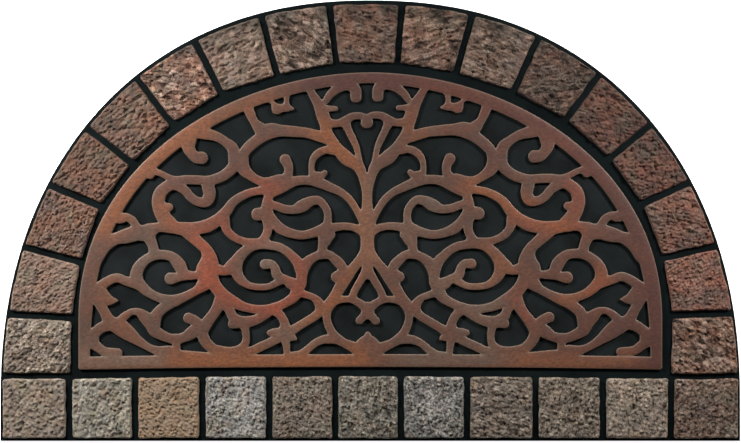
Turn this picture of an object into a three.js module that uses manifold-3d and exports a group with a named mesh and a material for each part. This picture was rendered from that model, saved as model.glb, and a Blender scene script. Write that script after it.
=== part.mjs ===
// A half-round moulded rubber doormat: a black rubber sheet with a raised border of
// cobblestones along the arch and along the flat edge, and between them a raised panel
// of wrought-iron scrollwork in a plain band. The spaces between the bars are shallow
// recesses with the black rubber as their floor.
// Millimetres, +Z up, the flat edge towards -Y, the middle of the outline's box at the origin.

import * as THREE from "three";
import { mergeVertices } from "three/addons/utils/BufferGeometryUtils.js";
import Module from "manifold-3d";

const wasm = await Module();
wasm.setup();

// Overall sizes
const MAT_WIDTH = 762;
const MAT_DEPTH = 454;
const SHEET_THICKNESS = 4.5;
const PANEL_TOP = 7.5;
const STONE_TOP = 7.9;
const STONE_UNEVENNESS = 0.6;
const SHEET_EDGE_BEVEL = 0.8;
const SUNK_INTO_SHEET = 1;

// Stones
const GROOVE_WIDTH = 6.6;
const STONE_EDGE_WIDTH = 2.6;
const STONE_EDGE_DROP = 1.3;
const FLAT_EDGE_LIP = 3;
const SIDE_LIP = 2.5;
const ARCH_LIP_AT_TOP = 4.5;
const ARCH_LIP_AT_FOOT = 2;
const BOTTOM_ROW_TOP = 64;
const FOOT_BOW = 2.7;

// Scroll panel
const BAND_FOOT = 73.5;
const BAND_FOOT_WIDTH = 13.3;
const BAND_CORNER_RADIUS = 2.5;
const SCROLL_AXIS = 3;
const SCROLL_MIDDLE = 200;
const RIGHT_HALF_STRETCH = 1.012;
const RIGHT_HALF_GROWTH = 1.005;
const RIGHT_HALF_LEAN = 0.008;
const RIGHT_HALF_RISE = 0.006;
const JUNCTION_FILLET = 2;
const TRACE_CELL = 1.5;
const TRACE_TOLERANCE = 0.4;

// Arched outlines: half width, height of the crown above the flat edge, height where the
// sides turn straight, and how full the shoulders are across and up (2 is an ellipse)
const MAT_ARCH = { half: MAT_WIDTH / 2, crown: MAT_DEPTH, spring: 43, across: 2.21, up: 2.18 };
const BAND_OUTER = { half: 300.2, crown: 379.4, spring: 123.6, across: 1.92, up: 2.14 };
const BAND_INNER = { half: 288.5, crown: 368.2, spring: 52, across: 1.72, up: 3.05 };

// Joints between the arch stones, from the left foot over the crown to the right foot:
// the point where the joint meets the rim and the point where it meets the panel,
// each as distance right of the centreline and height above the flat edge
const ARCH_JOINTS = [
  { rim: [-379, 66.5], panel: [-309, 66] },
  { rim: [-373, 130.5], panel: [-307, 127] },
  { rim: [-357.5, 199.5], panel: [-298, 184] },
  { rim: [-329.5, 263], panel: [-278.5, 241.5] },
  { rim: [-291, 321.5], panel: [-245.5, 286] },
  { rim: [-239.5, 372.5], panel: [-204, 326.5] },
  { rim: [-179.5, 409.5], panel: [-153.5, 358.5] },
  { rim: [-111, 433], panel: [-96, 376.5] },
  { rim: [-42, 448], panel: [-35, 388.5] },
  { rim: [33, 449], panel: [27.5, 388.5] },
  { rim: [105, 439], panel: [88.5, 379] },
  { rim: [172.5, 414.5], panel: [147.5, 360] },
  { rim: [234.5, 376], panel: [201.5, 331] },
  { rim: [287.5, 324.5], panel: [246.5, 291] },
  { rim: [327, 265.5], panel: [280, 244] },
  { rim: [357, 201], panel: [302, 188] },
  { rim: [373.5, 131.5], panel: [311, 129.5] },
  { rim: [380, 66], panel: [309.5, 65.5] },
];

// Joints in the bottom row, as distances right of the centreline
const BOTTOM_ROW_JOINTS = [-310, -242, -173, -104, -36, 31.5, 99.5, 170, 239.5, 309.5];

// Scroll bars of the left half, repeated mirrored on the right. Each station of a bar is
// [distance left of the centreline, height above the flat edge, width of the bar]
const SCROLL_BARS = {
  "fork": [
    [63.5, 362.8, 6.5], [58.7, 355.5, 8.5], [53, 346, 11], [49.5, 337, 13], [46, 327, 13],
    [45, 319, 11], [40, 309, 12], [33, 300, 12], [24.5, 291.3, 14.5], [13.5, 283, 10.8],
    [8.5, 274.5, 9.7], [6, 266, 9],
  ],
  "crown hook": [
    [46, 350, 7], [41, 357, 8.3], [33, 363, 9.4], [23, 366, 10.6], [15.6, 362, 11.4],
    [14.8, 353.8, 11.4],
  ],
  "fork nub": [[45, 342, 7], [35.7, 342, 5.2]],
  "petal": [
    [42, 327, 9], [33, 327, 8], [25.3, 330, 9], [18.5, 334, 7.8], [10, 334.6, 7.2],
    [4, 332.8, 5.5],
  ],
  "petal stalk": [
    [25.5, 327, 9.5], [22, 319, 7.5], [18, 311, 7.5], [14.5, 303, 6.5], [12.5, 295, 6],
    [10.8, 287, 6], [8, 279.5, 6.5],
  ],
  "bud": [[3, 331.5, 6], [3.8, 327.7, 11.6]],
  "great C": [
    [46, 311.5, 11.5], [55, 314.3, 11.4], [66, 317.2, 10.6], [79, 318.5, 11.5], [92, 319.3, 12.4],
    [104, 318.7, 16.5], [114, 311.5, 12], [123, 304.5, 11.5], [129.5, 297, 11], [131, 289, 11.5],
    [130, 280, 13], [121.5, 272, 9.5], [112, 267, 9.5], [103, 265, 14], [94, 267, 15],
  ],
  "C curl": [[89, 266, 14], [84.5, 275, 9.5], [84.3, 283, 9.5], [87.5, 289.7, 11.3]],
  "fork curl": [
    [38, 298.5, 8.5], [46, 299.5, 8], [54, 296, 8], [59, 290, 7], [60.6, 282, 6], [60, 275, 6.5],
  ],
  "curl nub": [[56, 273, 9], [50.5, 273.3, 7.5], [47, 276, 5.8]],
  "shoulder": [
    [99, 256, 9.5], [90, 261.5, 11.5], [77, 267.5, 10], [64, 268.3, 9.6], [52, 265.7, 10.5],
    [41, 261, 9.5], [30, 255.8, 8.2], [21, 248.3, 7.7], [15, 239.5, 7.3], [9.7, 230, 7.8],
    [6, 222, 8],
  ],
  "leaf": [
    [106, 244, 9], [97, 242, 8.5], [88, 238.7, 9], [78, 238.3, 9.5], [70, 242, 13],
    [62, 246.5, 10.5], [54, 247.7, 9], [48.3, 243.6, 8], [44.4, 237, 8], [43.7, 228, 8],
    [46, 218, 10],
  ],
  "cradle": [
    [106, 238, 9], [101, 230, 8], [94, 220, 11], [83, 214.3, 10], [70, 212, 9], [58, 214.5, 10],
    [48, 218.5, 11],
  ],
  "tie": [[46, 218, 12], [36, 220, 9], [26, 221, 8], [16, 219.5, 8], [8, 216, 10]],
  "tie nub": [[45, 205.5, 9], [43, 209, 9], [40.5, 212.3, 9]],
  "left post": [
    [103, 262, 12], [104.5, 253, 9.5], [106.3, 243, 10.8], [107, 232, 11], [105.3, 222, 9.5],
    [106.5, 213.5, 9], [111, 206, 9],
  ],
  "post ball": [[108, 236, 9], [115.5, 233.5, 13.6]],
  "ball ring": [
    [107, 204.5, 8.5], [118, 204.5, 8.5], [128, 205, 8], [137, 208, 8], [144, 213, 8.5],
    [148.3, 219, 9], [150, 227, 11],
  ],
  "long arm": [
    [104, 258, 9], [114, 257.5, 8.5], [124, 255.5, 8.5], [134, 251, 9], [142, 245, 9.5],
    [148, 236.6, 11], [156.5, 228, 12.5], [167.5, 221.5, 14], [180, 219, 13], [192, 218.4, 14],
    [204, 220, 12], [216, 220, 10], [228, 219.5, 9],
  ],
  "knee": [
    [187, 214, 13], [177, 205, 11.5], [169.5, 198, 11.5], [166, 190, 15], [166, 182, 20],
    [168.5, 174.5, 21], [163, 166, 14],
  ],
  "arch": [
    [25.5, 174, 7], [31, 182, 10.5], [40, 190.3, 9], [45.5, 192, 9.4], [51, 192, 9],
    [60, 188, 9.5], [66.5, 182, 11.5], [70, 172, 10.5], [71, 163, 11],
  ],
  "stirrup": [
    [71, 172, 10], [74.5, 183.5, 11], [80, 190, 9.5], [87, 196, 9], [95, 200, 9], [104, 201.5, 9],
    [114, 202, 9.5], [124, 199, 10], [133, 191.5, 11.5], [137.5, 183, 12.5], [137.5, 174, 12],
    [133, 166, 10], [125, 160.3, 7.5], [115, 158.5, 7], [105, 159, 7], [97, 162.5, 7.5],
    [88, 167, 7.5],
  ],
  "stirrup brace": [[137, 187, 11], [144, 178.8, 13]],
  "stirrup curl": [
    [78, 163, 9], [90, 167.3, 8.5], [96, 171.5, 10.5], [98, 178, 9], [102, 182, 9],
    [108.3, 182, 10.6],
  ],
  "thorn": [[78, 158.5, 8], [83, 160.3, 7], [87.3, 162.8, 2.5]],
  "cross arm": [[138, 178, 10], [150, 175, 9.5], [156.5, 176.3, 11], [163, 173, 12]],
  "link": [[48, 214, 11], [48.5, 206, 10], [49, 200, 9.5], [50, 192, 9]],
  "stem": [
    [3, 269, 12], [3, 262, 11.3], [3, 255, 9.6], [3, 244, 9.6], [3, 232, 13], [3, 220, 15.5],
    [3, 208, 12.8], [3, 198, 13.2], [3, 189, 13], [3, 181, 10.5], [3, 172, 10],
  ],
  "outer leg": [
    [5, 196, 10], [9, 189, 10], [14.5, 181.7, 10], [20, 175, 11], [26, 167, 13], [31, 158.5, 12],
    [36, 150, 11], [41, 143, 11], [46, 137, 10],
  ],
  "leg nub": [[28, 171, 15], [35, 169, 11]],
  "inner leg": [[3.6, 177.5, 8], [8, 169, 8], [12.3, 161.5, 7.7], [16.3, 154.5, 7.5], [18, 149, 8]],
  "ring top": [
    [43, 138.5, 9.5], [37, 144.2, 9.5], [28, 145.8, 7.2], [19, 145.6, 7.4], [11, 142, 8.5],
    [5, 137, 9],
  ],
  "ring side": [[44, 137, 9], [44.8, 127, 8], [42.5, 118, 8.5], [38, 110, 9], [31, 104, 8.5]],
  "knot": [[3, 139, 8], [3, 134, 11.5], [3, 130, 8]],
  "knot nub": [[4, 132, 8.3], [11, 124.2, 8.3]],
  "base arch": [
    [79, 87, 10.5], [72, 89, 9], [65, 94, 8], [57.5, 100.3, 8], [50, 104, 8.8], [44, 105, 9.5],
    [34, 104, 9], [25, 100, 9.5], [15, 95.5, 12], [8, 90, 13],
  ],
  "base bud": [[3, 86, 30], [3, 94, 28], [3, 105.5, 9], [3, 109.8, 5.2]],
  "buckle": [
    [75, 153.5, 9], [66, 150.5, 7.5], [58, 147.5, 7.5], [52.5, 141.5, 10], [52, 134, 10],
    [57, 128.5, 9], [65, 123.5, 9], [74, 118, 9], [82, 113, 10],
  ],
  "great arc": [
    [73, 160, 12], [76, 153, 12], [79.5, 147.5, 11], [87, 142.5, 9.5], [97, 138, 9.5],
    [108, 135.5, 9.5], [120, 136, 9], [131, 138.5, 10], [141, 143.5, 12], [150, 149.3, 12.8],
    [157.5, 157, 13], [163.5, 167, 13],
  ],
  "drop stalk": [
    [99, 135, 10], [92, 129, 9], [88, 121, 9.5], [88, 113, 12], [87.5, 105, 9], [86.3, 98, 7.5],
    [85.5, 90, 6.5],
  ],
  "drop thorn": [[88, 111, 12], [98, 111.5, 9.5], [103.5, 111.5, 6]],
  "drop foot": [[88, 107, 10], [80, 106.5, 7], [77, 105.3, 3.5]],
  "drop strut": [[134, 90, 8], [122, 93, 9], [112, 97.5, 9.5], [103, 101.5, 9.5], [95, 106, 10]],
  "hood": [[127, 347, 10], [123.5, 337, 10], [119, 328, 9], [112.5, 320.5, 14]],
  "pendant": [[109, 354, 8], [101, 348.5, 4], [96, 341.5, 11]],
  "pendant stalk": [[85.5, 359, 7], [86.2, 350, 5.2], [86, 343, 8]],
  "pendant bar": [[96, 341.5, 8], [88, 343, 8], [80, 342, 3.5]],
  "loop": [
    [180, 319, 14], [168, 316, 12], [158, 313.3, 10], [149, 308, 9.5], [141.5, 301, 12],
    [140.3, 291, 11.5], [141, 282.5, 12], [149, 274.5, 11], [158, 270, 11], [168, 268.3, 9.3],
    [180, 268.7, 9.8], [192, 268.8, 9.4], [204, 267, 9],
  ],
  "loop hook": [
    [186, 312, 15.5], [187, 303, 13.5], [184, 296.5, 11], [179, 292, 12], [173.5, 291.3, 13.2],
  ],
  "brace": [[226, 278, 8], [217, 276, 6.5], [208, 271.5, 6.5], [200, 268, 8]],
  "band nub": [[232, 279, 9], [226.5, 274, 9]],
  "hairpin": [
    [168, 267, 9.5], [166.8, 261.5, 13], [165.3, 254, 12.5], [168.5, 246.8, 12],
    [177, 246.3, 9.4], [184.5, 251, 9.2], [190, 257.5, 9.5], [197, 262, 10],
  ],
  "left C": [
    [200, 265, 12], [208, 262.5, 12], [215.5, 256, 13], [218, 247, 13.5], [216.5, 238, 13.5],
    [212, 230, 15], [206, 222.5, 16],
  ],
  "left C nub": [[214, 240, 11], [207, 240.5, 8.6]],
  "band hook": [
    [263, 231, 10.5], [257, 229.3, 11], [251, 230.3, 8.5], [244.5, 226.8, 8.5], [240.5, 220, 9],
  ],
  "side strand": [
    [282, 190, 16], [275, 201.5, 17], [262, 208, 12.5], [251, 211, 15.5], [240, 214, 16],
    [230, 214.5, 16], [220, 219, 9],
  ],
  "side link": [[227, 208.5, 12], [224, 202, 10.5], [222.3, 195, 10.5]],
  "side C": [
    [184, 170, 8], [192, 173, 11], [196.3, 181.3, 13], [204, 189.6, 10.5], [214, 191.8, 10],
    [224, 190.3, 10], [233, 185, 10.5], [239.5, 176, 12.5], [240, 166, 13], [233, 157, 11],
    [224, 150.5, 9.5], [213, 146.5, 9.5], [201, 145, 11.5], [189, 149.5, 9.5], [178, 155.5, 9.5],
    [171, 161.5, 14], [165, 165, 12],
  ],
  "side ball": [[171, 170.5, 10], [182, 170.5, 8], [195, 168.8, 8.5], [205.3, 167.3, 12.6]],
  "wing": [[281, 156.5, 11], [271, 164, 10], [261, 168, 9.5], [252, 165, 9.5], [241, 162, 11]],
  "wing thorn": [[277, 151, 15.5], [270.3, 145.3, 12], [260.5, 144.5, 2.5]],
  "wing strut": [
    [286, 153, 10], [279.5, 143, 10.5], [273.5, 133, 10.5], [267.5, 123, 13], [255.7, 116, 17.2],
    [247, 109.5, 14.5], [239, 103.5, 10.5], [229, 97, 8], [219, 93, 9.5], [207.5, 91.5, 14],
  ],
  "wing brace": [[292, 107, 9], [283, 112, 11], [276, 117, 11.5], [267, 120, 12]],
  "corner strut": [
    [292, 105, 13], [282.5, 98.5, 10.5], [274, 92.5, 9.5], [266, 91.5, 9], [259.5, 91, 9],
  ],
  "corner fill": [[290, 107, 14], [286, 105, 14]],
  "inner loop": [
    [261, 120, 9], [254, 127.3, 8.7], [246, 132.8, 7], [238, 132.5, 8.5], [231, 127, 13],
    [224.5, 121, 15.5], [221, 113, 12.5], [209, 106.7, 10.2], [199, 105, 10.5],
    [190, 107.5, 10.5], [183, 112, 13.5], [174, 118, 12],
  ],
  "loop neck": [[200, 144, 10], [211, 138.5, 11], [219, 131.5, 11.5], [222, 124, 13]],
  "loop foot": [[200, 106, 8], [199.5, 98, 8], [199, 88, 9]],
  "foot swell": [[208, 86, 14], [194, 86.5, 14], [180, 86, 13], [165, 85, 12]],
  "heart left": [
    [153, 147, 14], [157, 138, 12], [162, 130, 11], [168, 122, 12], [172, 113, 11],
    [171.2, 105.8, 11.5], [165.8, 98.3, 11], [157.5, 92.5, 10], [149, 88, 9],
  ],
  "heart ball": [[173, 117, 10], [180, 123.5, 10.5], [187, 126.7, 11]],
  "heart right": [
    [151, 144, 12], [145, 135, 9.5], [141, 127.5, 10.5], [133, 123, 11.5], [124, 123, 11.5],
    [115, 126, 10], [106, 131.5, 9.5], [99, 137, 9],
  ],
  "heart nub": [[133, 121.5, 10], [141.5, 120.5, 9.8]],
  "heart side": [
    [131, 121, 8], [128.5, 114, 8], [127.7, 106, 7.5], [129.5, 99, 8.5], [136, 94, 9],
    [146, 92.5, 9], [156, 94, 9],
  ],
};

// A repeatable scatter between -1 and 1, for the unevenness of the hewn stones
function scatter(seed) {
  const wave = Math.sin(seed * 127.1 + 311.7) * 43758.5453;
  return 2 * (wave - Math.floor(wave)) - 1;
}

// How far a point is outside an arched outline; negative inside
function outsideArch(arch, x, y) {
  const level = (px, py) => {
    const rise = Math.max((py - arch.spring) / (arch.crown - arch.spring), 0);
    return Math.abs(px / arch.half) ** arch.across + rise ** arch.up - 1;
  };
  const step = 0.01;
  const slopeX = (level(x + step, y) - level(x - step, y)) / (2 * step);
  const slopeY = (level(x, y + step) - level(x, y - step)) / (2 * step);
  return level(x, y) / Math.max(Math.hypot(slopeX, slopeY), 1e-4);
}

// The closed outline of an arch that stands on the flat edge, with evenly turning points
function archOutline(arch, count) {
  const points = [[-arch.half, 0], [arch.half, 0]];
  for (let i = 0; i <= count; i += 1) {
    const turn = (Math.PI * i) / count;
    const across = Math.abs(Math.cos(turn)) ** (2 / arch.across) * Math.sign(Math.cos(turn));
    const up = Math.sin(turn) ** (2 / arch.up);
    points.push([arch.half * across, arch.spring + (arch.crown - arch.spring) * up]);
  }
  return points.map(([x, y]) => new THREE.Vector2(x, y));
}

// The point where a ray from a point inside the mat meets the rim, less the rim's lip
function rimPoint(from, towards) {
  const far = Math.hypot(towards[0] - from[0], towards[1] - from[1]);
  const along = [(towards[0] - from[0]) / far, (towards[1] - from[1]) / far];
  let near = 0;
  let beyond = far + 40;
  for (let i = 0; i < 30; i += 1) {
    const middle = (near + beyond) / 2;
    const [x, y] = [from[0] + along[0] * middle, from[1] + along[1] * middle];
    const height = Math.max(y, 0) / MAT_DEPTH;
    const lip = ARCH_LIP_AT_FOOT + (ARCH_LIP_AT_TOP - ARCH_LIP_AT_FOOT) * height;
    if (outsideArch(MAT_ARCH, x, y) < -lip) near = middle;
    else beyond = middle;
  }
  return [from[0] + along[0] * near, from[1] + along[1] * near];
}

const between = (a, b, share) => [a[0] + (b[0] - a[0]) * share, a[1] + (b[1] - a[1]) * share];

// A point moved sideways from a joint line by half a groove
function besideJoint(joint, point, side) {
  const [dx, dy] = [joint.rim[0] - joint.panel[0], joint.rim[1] - joint.panel[1]];
  const length = Math.hypot(dx, dy);
  const shift = (side * GROOVE_WIDTH) / 2;
  return [point[0] + (dy / length) * shift, point[1] - (dx / length) * shift];
}

// The plan of an arch stone: a function from shares along and across it to a point
function archStonePlan(joint, nextJoint) {
  const panelStart = besideJoint(joint, joint.panel, 1);
  const panelEnd = besideJoint(nextJoint, nextJoint.panel, -1);
  const rimStart = besideJoint(joint, joint.rim, 1);
  const rimEnd = besideJoint(nextJoint, nextJoint.rim, -1);
  return (along, across) => {
    const panel = between(panelStart, panelEnd, along);
    const rim = rimPoint(panel, between(rimStart, rimEnd, along));
    return between(rim, panel, across);
  };
}

// How much higher the groove under the panel lies towards the middle of the mat
const footBow = (x) => FOOT_BOW * Math.max(1 - (x / BAND_OUTER.half) ** 2, 0);

// The plan of a stone in the bottom row, which is square but for its bowed top
function bottomStonePlan(left, right) {
  return (along, across) => {
    const x = left + (right - left) * along;
    const top = BOTTOM_ROW_TOP + footBow(x);
    return [x, top - (top - FLAT_EDGE_LIP) * across];
  };
}

// One stone: a block of six by four fields, with a sloping edge and an uneven top
function stoneGeometry(plan, seed) {
  const block = new THREE.BoxGeometry(1, 1, 1, 6, 4, 1);
  const position = block.getAttribute("position");
  const length = Math.hypot(plan(0, 0.5)[0] - plan(1, 0.5)[0], plan(0, 0.5)[1] - plan(1, 0.5)[1]);
  const width = Math.hypot(plan(0.5, 0)[0] - plan(0.5, 1)[0], plan(0.5, 0)[1] - plan(0.5, 1)[1]);
  const edgeAlong = STONE_EDGE_WIDTH / length;
  const edgeAcross = STONE_EDGE_WIDTH / width;
  const sharesAlong = [0, edgeAlong, 0.27, 0.5, 0.73, 1 - edgeAlong, 1];
  const sharesAcross = [0, edgeAcross, 0.5, 1 - edgeAcross, 1];
  for (let i = 0; i < position.count; i += 1) {
    const column = Math.round((position.getX(i) + 0.5) * 6);
    const row = Math.round((0.5 - position.getY(i)) * 4);
    const atEnd = column === 0 || column === 6;
    const atSide = row === 0 || row === 4;
    let along = sharesAlong[column];
    let across = sharesAcross[row];
    if (atEnd && atSide) {
      along += (0.5 - along) * 0.6 * edgeAlong;
      across += (0.5 - across) * 0.6 * edgeAcross;
    }
    const [x, y] = plan(along, across);
    const unevenness = STONE_UNEVENNESS * scatter(seed + column * 7.3 + row * 31.7);
    const top = atEnd || atSide ? STONE_TOP - STONE_EDGE_DROP : STONE_TOP + unevenness;
    position.setXYZ(i, x, y, position.getZ(i) > 0 ? top : SHEET_THICKNESS - SUNK_INTO_SHEET);
  }
  return block;
}

// A bar's stations on one half of the mat, joined by a smooth curve
function barStations(stations, isRight) {
  const placed = stations.map(([left, up, width]) => {
    if (!isRight) return new THREE.Vector3(-left, up, width);
    const [out, high] = [left - SCROLL_AXIS, up - SCROLL_MIDDLE];
    const x = out * RIGHT_HALF_STRETCH - high * RIGHT_HALF_LEAN - SCROLL_AXIS;
    const y = out * RIGHT_HALF_RISE + high * RIGHT_HALF_GROWTH + SCROLL_MIDDLE;
    return new THREE.Vector3(x, y, width);
  });
  return new THREE.CatmullRomCurve3(placed, false, "catmullrom", 0.5).getPoints(placed.length * 3);
}

// How far a point is outside one straight stretch of a bar with rounded ends
function outsideStretch(a, b, x, y) {
  const [dx, dy] = [b.x - a.x, b.y - a.y];
  const share = ((x - a.x) * dx + (y - a.y) * dy) / (dx * dx + dy * dy + 1e-9);
  const t = Math.min(Math.max(share, 0), 1);
  const radius = (a.z + (b.z - a.z) * t) / 2;
  return Math.hypot(x - a.x - dx * t, y - a.y - dy * t) - radius;
}

// Two distances joined with a small fillet where they are nearly the same
function filleted(a, b) {
  const closeness = Math.max(JUNCTION_FILLET - Math.abs(a - b), 0) / JUNCTION_FILLET;
  return Math.min(a, b) - (closeness * closeness * JUNCTION_FILLET) / 4;
}

// A square grid over the panel that holds how far each of its points is outside the bars
const grid = {
  left: -BAND_OUTER.half - 6,
  foot: BAND_FOOT - 6,
  columns: Math.ceil((2 * BAND_OUTER.half + 12) / TRACE_CELL),
  rows: Math.ceil((BAND_OUTER.crown - BAND_FOOT + 12) / TRACE_CELL),
};
const gridX = (column) => grid.left + column * TRACE_CELL;
const gridY = (row) => grid.foot + row * TRACE_CELL;
const gridIndex = (column, row) => row * (grid.columns + 1) + column;

function panelDistances() {
  const distances = new Float64Array((grid.columns + 1) * (grid.rows + 1));
  for (let row = 0; row <= grid.rows; row += 1) {
    for (let column = 0; column <= grid.columns; column += 1) {
      const [x, y] = [gridX(column), gridY(row)];
      const foot = BAND_FOOT + footBow(x);
      const opening = Math.max(outsideArch(BAND_INNER, x, y), foot + BAND_FOOT_WIDTH - y);
      distances[gridIndex(column, row)] = -opening;
    }
  }
  for (const stations of Object.values(SCROLL_BARS)) {
    for (const isRight of [false, true]) addBar(distances, barStations(stations, isRight));
  }
  for (let row = 0; row <= grid.rows; row += 1) {
    for (let column = 0; column <= grid.columns; column += 1) {
      const [x, y] = [gridX(column), gridY(row)];
      const foot = BAND_FOOT + footBow(x);
      const past = [outsideArch(BAND_OUTER, x, y), foot - y].map((d) => d + BAND_CORNER_RADIUS);
      const corner = Math.hypot(Math.max(past[0], 0), Math.max(past[1], 0));
      const rim = Math.min(Math.max(past[0], past[1]), 0) + corner - BAND_CORNER_RADIUS;
      const index = gridIndex(column, row);
      distances[index] = Math.max(distances[index], rim);
    }
  }
  return distances;
}

// Joins one bar to the grid of distances, over the part of the grid that it reaches
function addBar(distances, curve) {
  const reach = 12;
  const columnOf = (x) => Math.round((x - grid.left) / TRACE_CELL);
  const rowOf = (y) => Math.round((y - grid.foot) / TRACE_CELL);
  const xs = curve.map((p) => p.x);
  const ys = curve.map((p) => p.y);
  const firstColumn = Math.max(columnOf(Math.min(...xs) - reach), 0);
  const lastColumn = Math.min(columnOf(Math.max(...xs) + reach), grid.columns);
  const firstRow = Math.max(rowOf(Math.min(...ys) - reach), 0);
  const lastRow = Math.min(rowOf(Math.max(...ys) + reach), grid.rows);
  for (let row = firstRow; row <= lastRow; row += 1) {
    for (let column = firstColumn; column <= lastColumn; column += 1) {
      let outside = Infinity;
      for (let k = 1; k < curve.length; k += 1) {
        const stretch = outsideStretch(curve[k - 1], curve[k], gridX(column), gridY(row));
        outside = Math.min(outside, stretch);
      }
      const index = gridIndex(column, row);
      distances[index] = filleted(distances[index], outside);
    }
  }
}

// The closed loops along which the distance is zero, with the rubber bars on their left
function zeroLoops(distances) {
  const nextCrossing = new Map();
  const places = new Map();
  const crossing = (from, to) => {
    const [a, b] = [from, to].map(([column, row]) => distances[gridIndex(column, row)]);
    const t = a / (a - b);
    const key = Math.min(gridIndex(...from), gridIndex(...to)) * 2 + (from[1] === to[1] ? 0 : 1);
    const [x, y] = [from[0] + (to[0] - from[0]) * t, from[1] + (to[1] - from[1]) * t];
    places.set(key, new THREE.Vector2(gridX(x), gridY(y)));
    return key;
  };
  for (let row = 0; row < grid.rows; row += 1) {
    for (let column = 0; column < grid.columns; column += 1) {
      const corners = [[0, 0], [1, 0], [1, 1], [0, 1]].map(([i, j]) => [column + i, row + j]);
      const inside = corners.map(([i, j]) => distances[gridIndex(i, j)] < 0);
      for (let start = 0; start < 4; start += 1) {
        const before = (start + 3) % 4;
        if (!inside[start] || inside[before]) continue;
        let last = start;
        while (inside[(last + 1) % 4]) last = (last + 1) % 4;
        const leaving = crossing(corners[last], corners[(last + 1) % 4]);
        nextCrossing.set(leaving, crossing(corners[before], corners[start]));
      }
    }
  }
  const loops = [];
  while (nextCrossing.size > 0) {
    const loop = [];
    let key = nextCrossing.keys().next().value;
    while (nextCrossing.has(key)) {
      loop.push(places.get(key));
      const next = nextCrossing.get(key);
      nextCrossing.delete(key);
      key = next;
    }
    loops.push(loop);
  }
  return loops;
}

// The points of a line that it can't do without, to within the tolerance
function thinned(points) {
  if (points.length < 3) return points;
  const [first, last] = [points[0], points[points.length - 1]];
  const [dx, dy] = [last.x - first.x, last.y - first.y];
  const length = Math.hypot(dx, dy);
  let farthest = 0;
  let offset = 0;
  for (let i = 1; i < points.length - 1; i += 1) {
    const [px, py] = [points[i].x - first.x, points[i].y - first.y];
    const away = length < 1e-6 ? Math.hypot(px, py) : Math.abs(px * dy - py * dx) / length;
    if (away > offset) [farthest, offset] = [i, away];
  }
  if (offset < TRACE_TOLERANCE) return [first, last];
  const head = thinned(points.slice(0, farthest + 1));
  return [...head.slice(0, -1), ...thinned(points.slice(farthest))];
}

// The raised panel: the band and its scrolls, with every space between them left open
function panelGeometry() {
  const loops = zeroLoops(panelDistances())
    .map((loop) => thinned([...loop, loop[0]]).slice(0, -1))
    .filter((loop) => Math.abs(THREE.ShapeUtils.area(loop)) > 4);
  const outlines = loops.filter((loop) => THREE.ShapeUtils.area(loop) > 0);
  const panel = new THREE.Shape(outlines[0]);
  panel.holes = loops.filter((loop) => THREE.ShapeUtils.area(loop) < 0).map((loop) => new THREE.Path(loop));
  const depth = PANEL_TOP - SHEET_THICKNESS + SUNK_INTO_SHEET;
  const raised = new THREE.ExtrudeGeometry(panel, { depth, bevelEnabled: false });
  return raised.translate(0, 0, PANEL_TOP - depth);
}

// The black rubber sheet that carries everything, its edges a little rounded off
function sheetGeometry() {
  const sheet = new THREE.ExtrudeGeometry(new THREE.Shape(archOutline(MAT_ARCH, 96)), {
    depth: SHEET_THICKNESS - 2 * SHEET_EDGE_BEVEL,
    bevelSize: SHEET_EDGE_BEVEL,
    bevelOffset: -SHEET_EDGE_BEVEL,
    bevelThickness: SHEET_EDGE_BEVEL,
    bevelSegments: 1,
  });
  return sheet.translate(0, 0, SHEET_EDGE_BEVEL);
}

// A geometry as a closed solid, with only its positions kept and its corners shared
function solid(geometry) {
  const bare = new THREE.BufferGeometry();
  bare.setAttribute("position", geometry.getAttribute("position"));
  bare.setIndex(geometry.index);
  const shared = mergeVertices(bare, 1e-3);
  const vertProperties = shared.getAttribute("position").array;
  const triVerts = new Uint32Array(shared.index.array);
  return new wasm.Manifold(new wasm.Mesh({ numProp: 3, vertProperties, triVerts }));
}

// All stones of the border
const stones = [];
for (let i = 1; i < ARCH_JOINTS.length; i += 1) {
  stones.push(stoneGeometry(archStonePlan(ARCH_JOINTS[i - 1], ARCH_JOINTS[i]), i));
}
const rowEnd = MAT_WIDTH / 2 - SIDE_LIP + GROOVE_WIDTH / 2;
const rowJoints = [-rowEnd, ...BOTTOM_ROW_JOINTS, rowEnd];
for (let i = 1; i < rowJoints.length; i += 1) {
  const [left, right] = [rowJoints[i - 1] + GROOVE_WIDTH / 2, rowJoints[i] - GROOVE_WIDTH / 2];
  stones.push(stoneGeometry(bottomStonePlan(left, right), 40 + i));
}

// The mat is moulded in one: the sheet, the stones and the panel are joined into one body
let body = solid(sheetGeometry());
for (const stone of stones) body = body.add(solid(stone));
body = body.add(solid(panelGeometry())).asOriginal();

const made = body.getMesh();
const matGeometry = new THREE.BufferGeometry();
matGeometry.setAttribute("position", new THREE.BufferAttribute(made.vertProperties, 3));
matGeometry.setIndex(new THREE.BufferAttribute(made.triVerts, 1));
matGeometry.computeVertexNormals();

const rubber = new THREE.MeshStandardMaterial({ color: 0x25282a, roughness: 0.85, metalness: 0 });
const mat = new THREE.Mesh(matGeometry, rubber);
mat.name = "mat";
mat.position.y = -MAT_DEPTH / 2;

const doormat = new THREE.Group();
doormat.add(mat);

export default doormat;
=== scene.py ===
# %% [markdown]
# # A half-round rubber doormat
# The mat leaves its mould in one piece of black crumb rubber. Cobblestones stand up along its
# edge, and scrollwork like wrought iron fills the middle. Then colour is printed on whatever
# stands up, and the grooves and recesses stay black. We build it in that order: the sheet,
# the stones, the scrollwork, and last the rubber and the two prints.

import bpy
import numpy as np
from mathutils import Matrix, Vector
from mathutils.geometry import delaunay_2d_cdt


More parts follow.
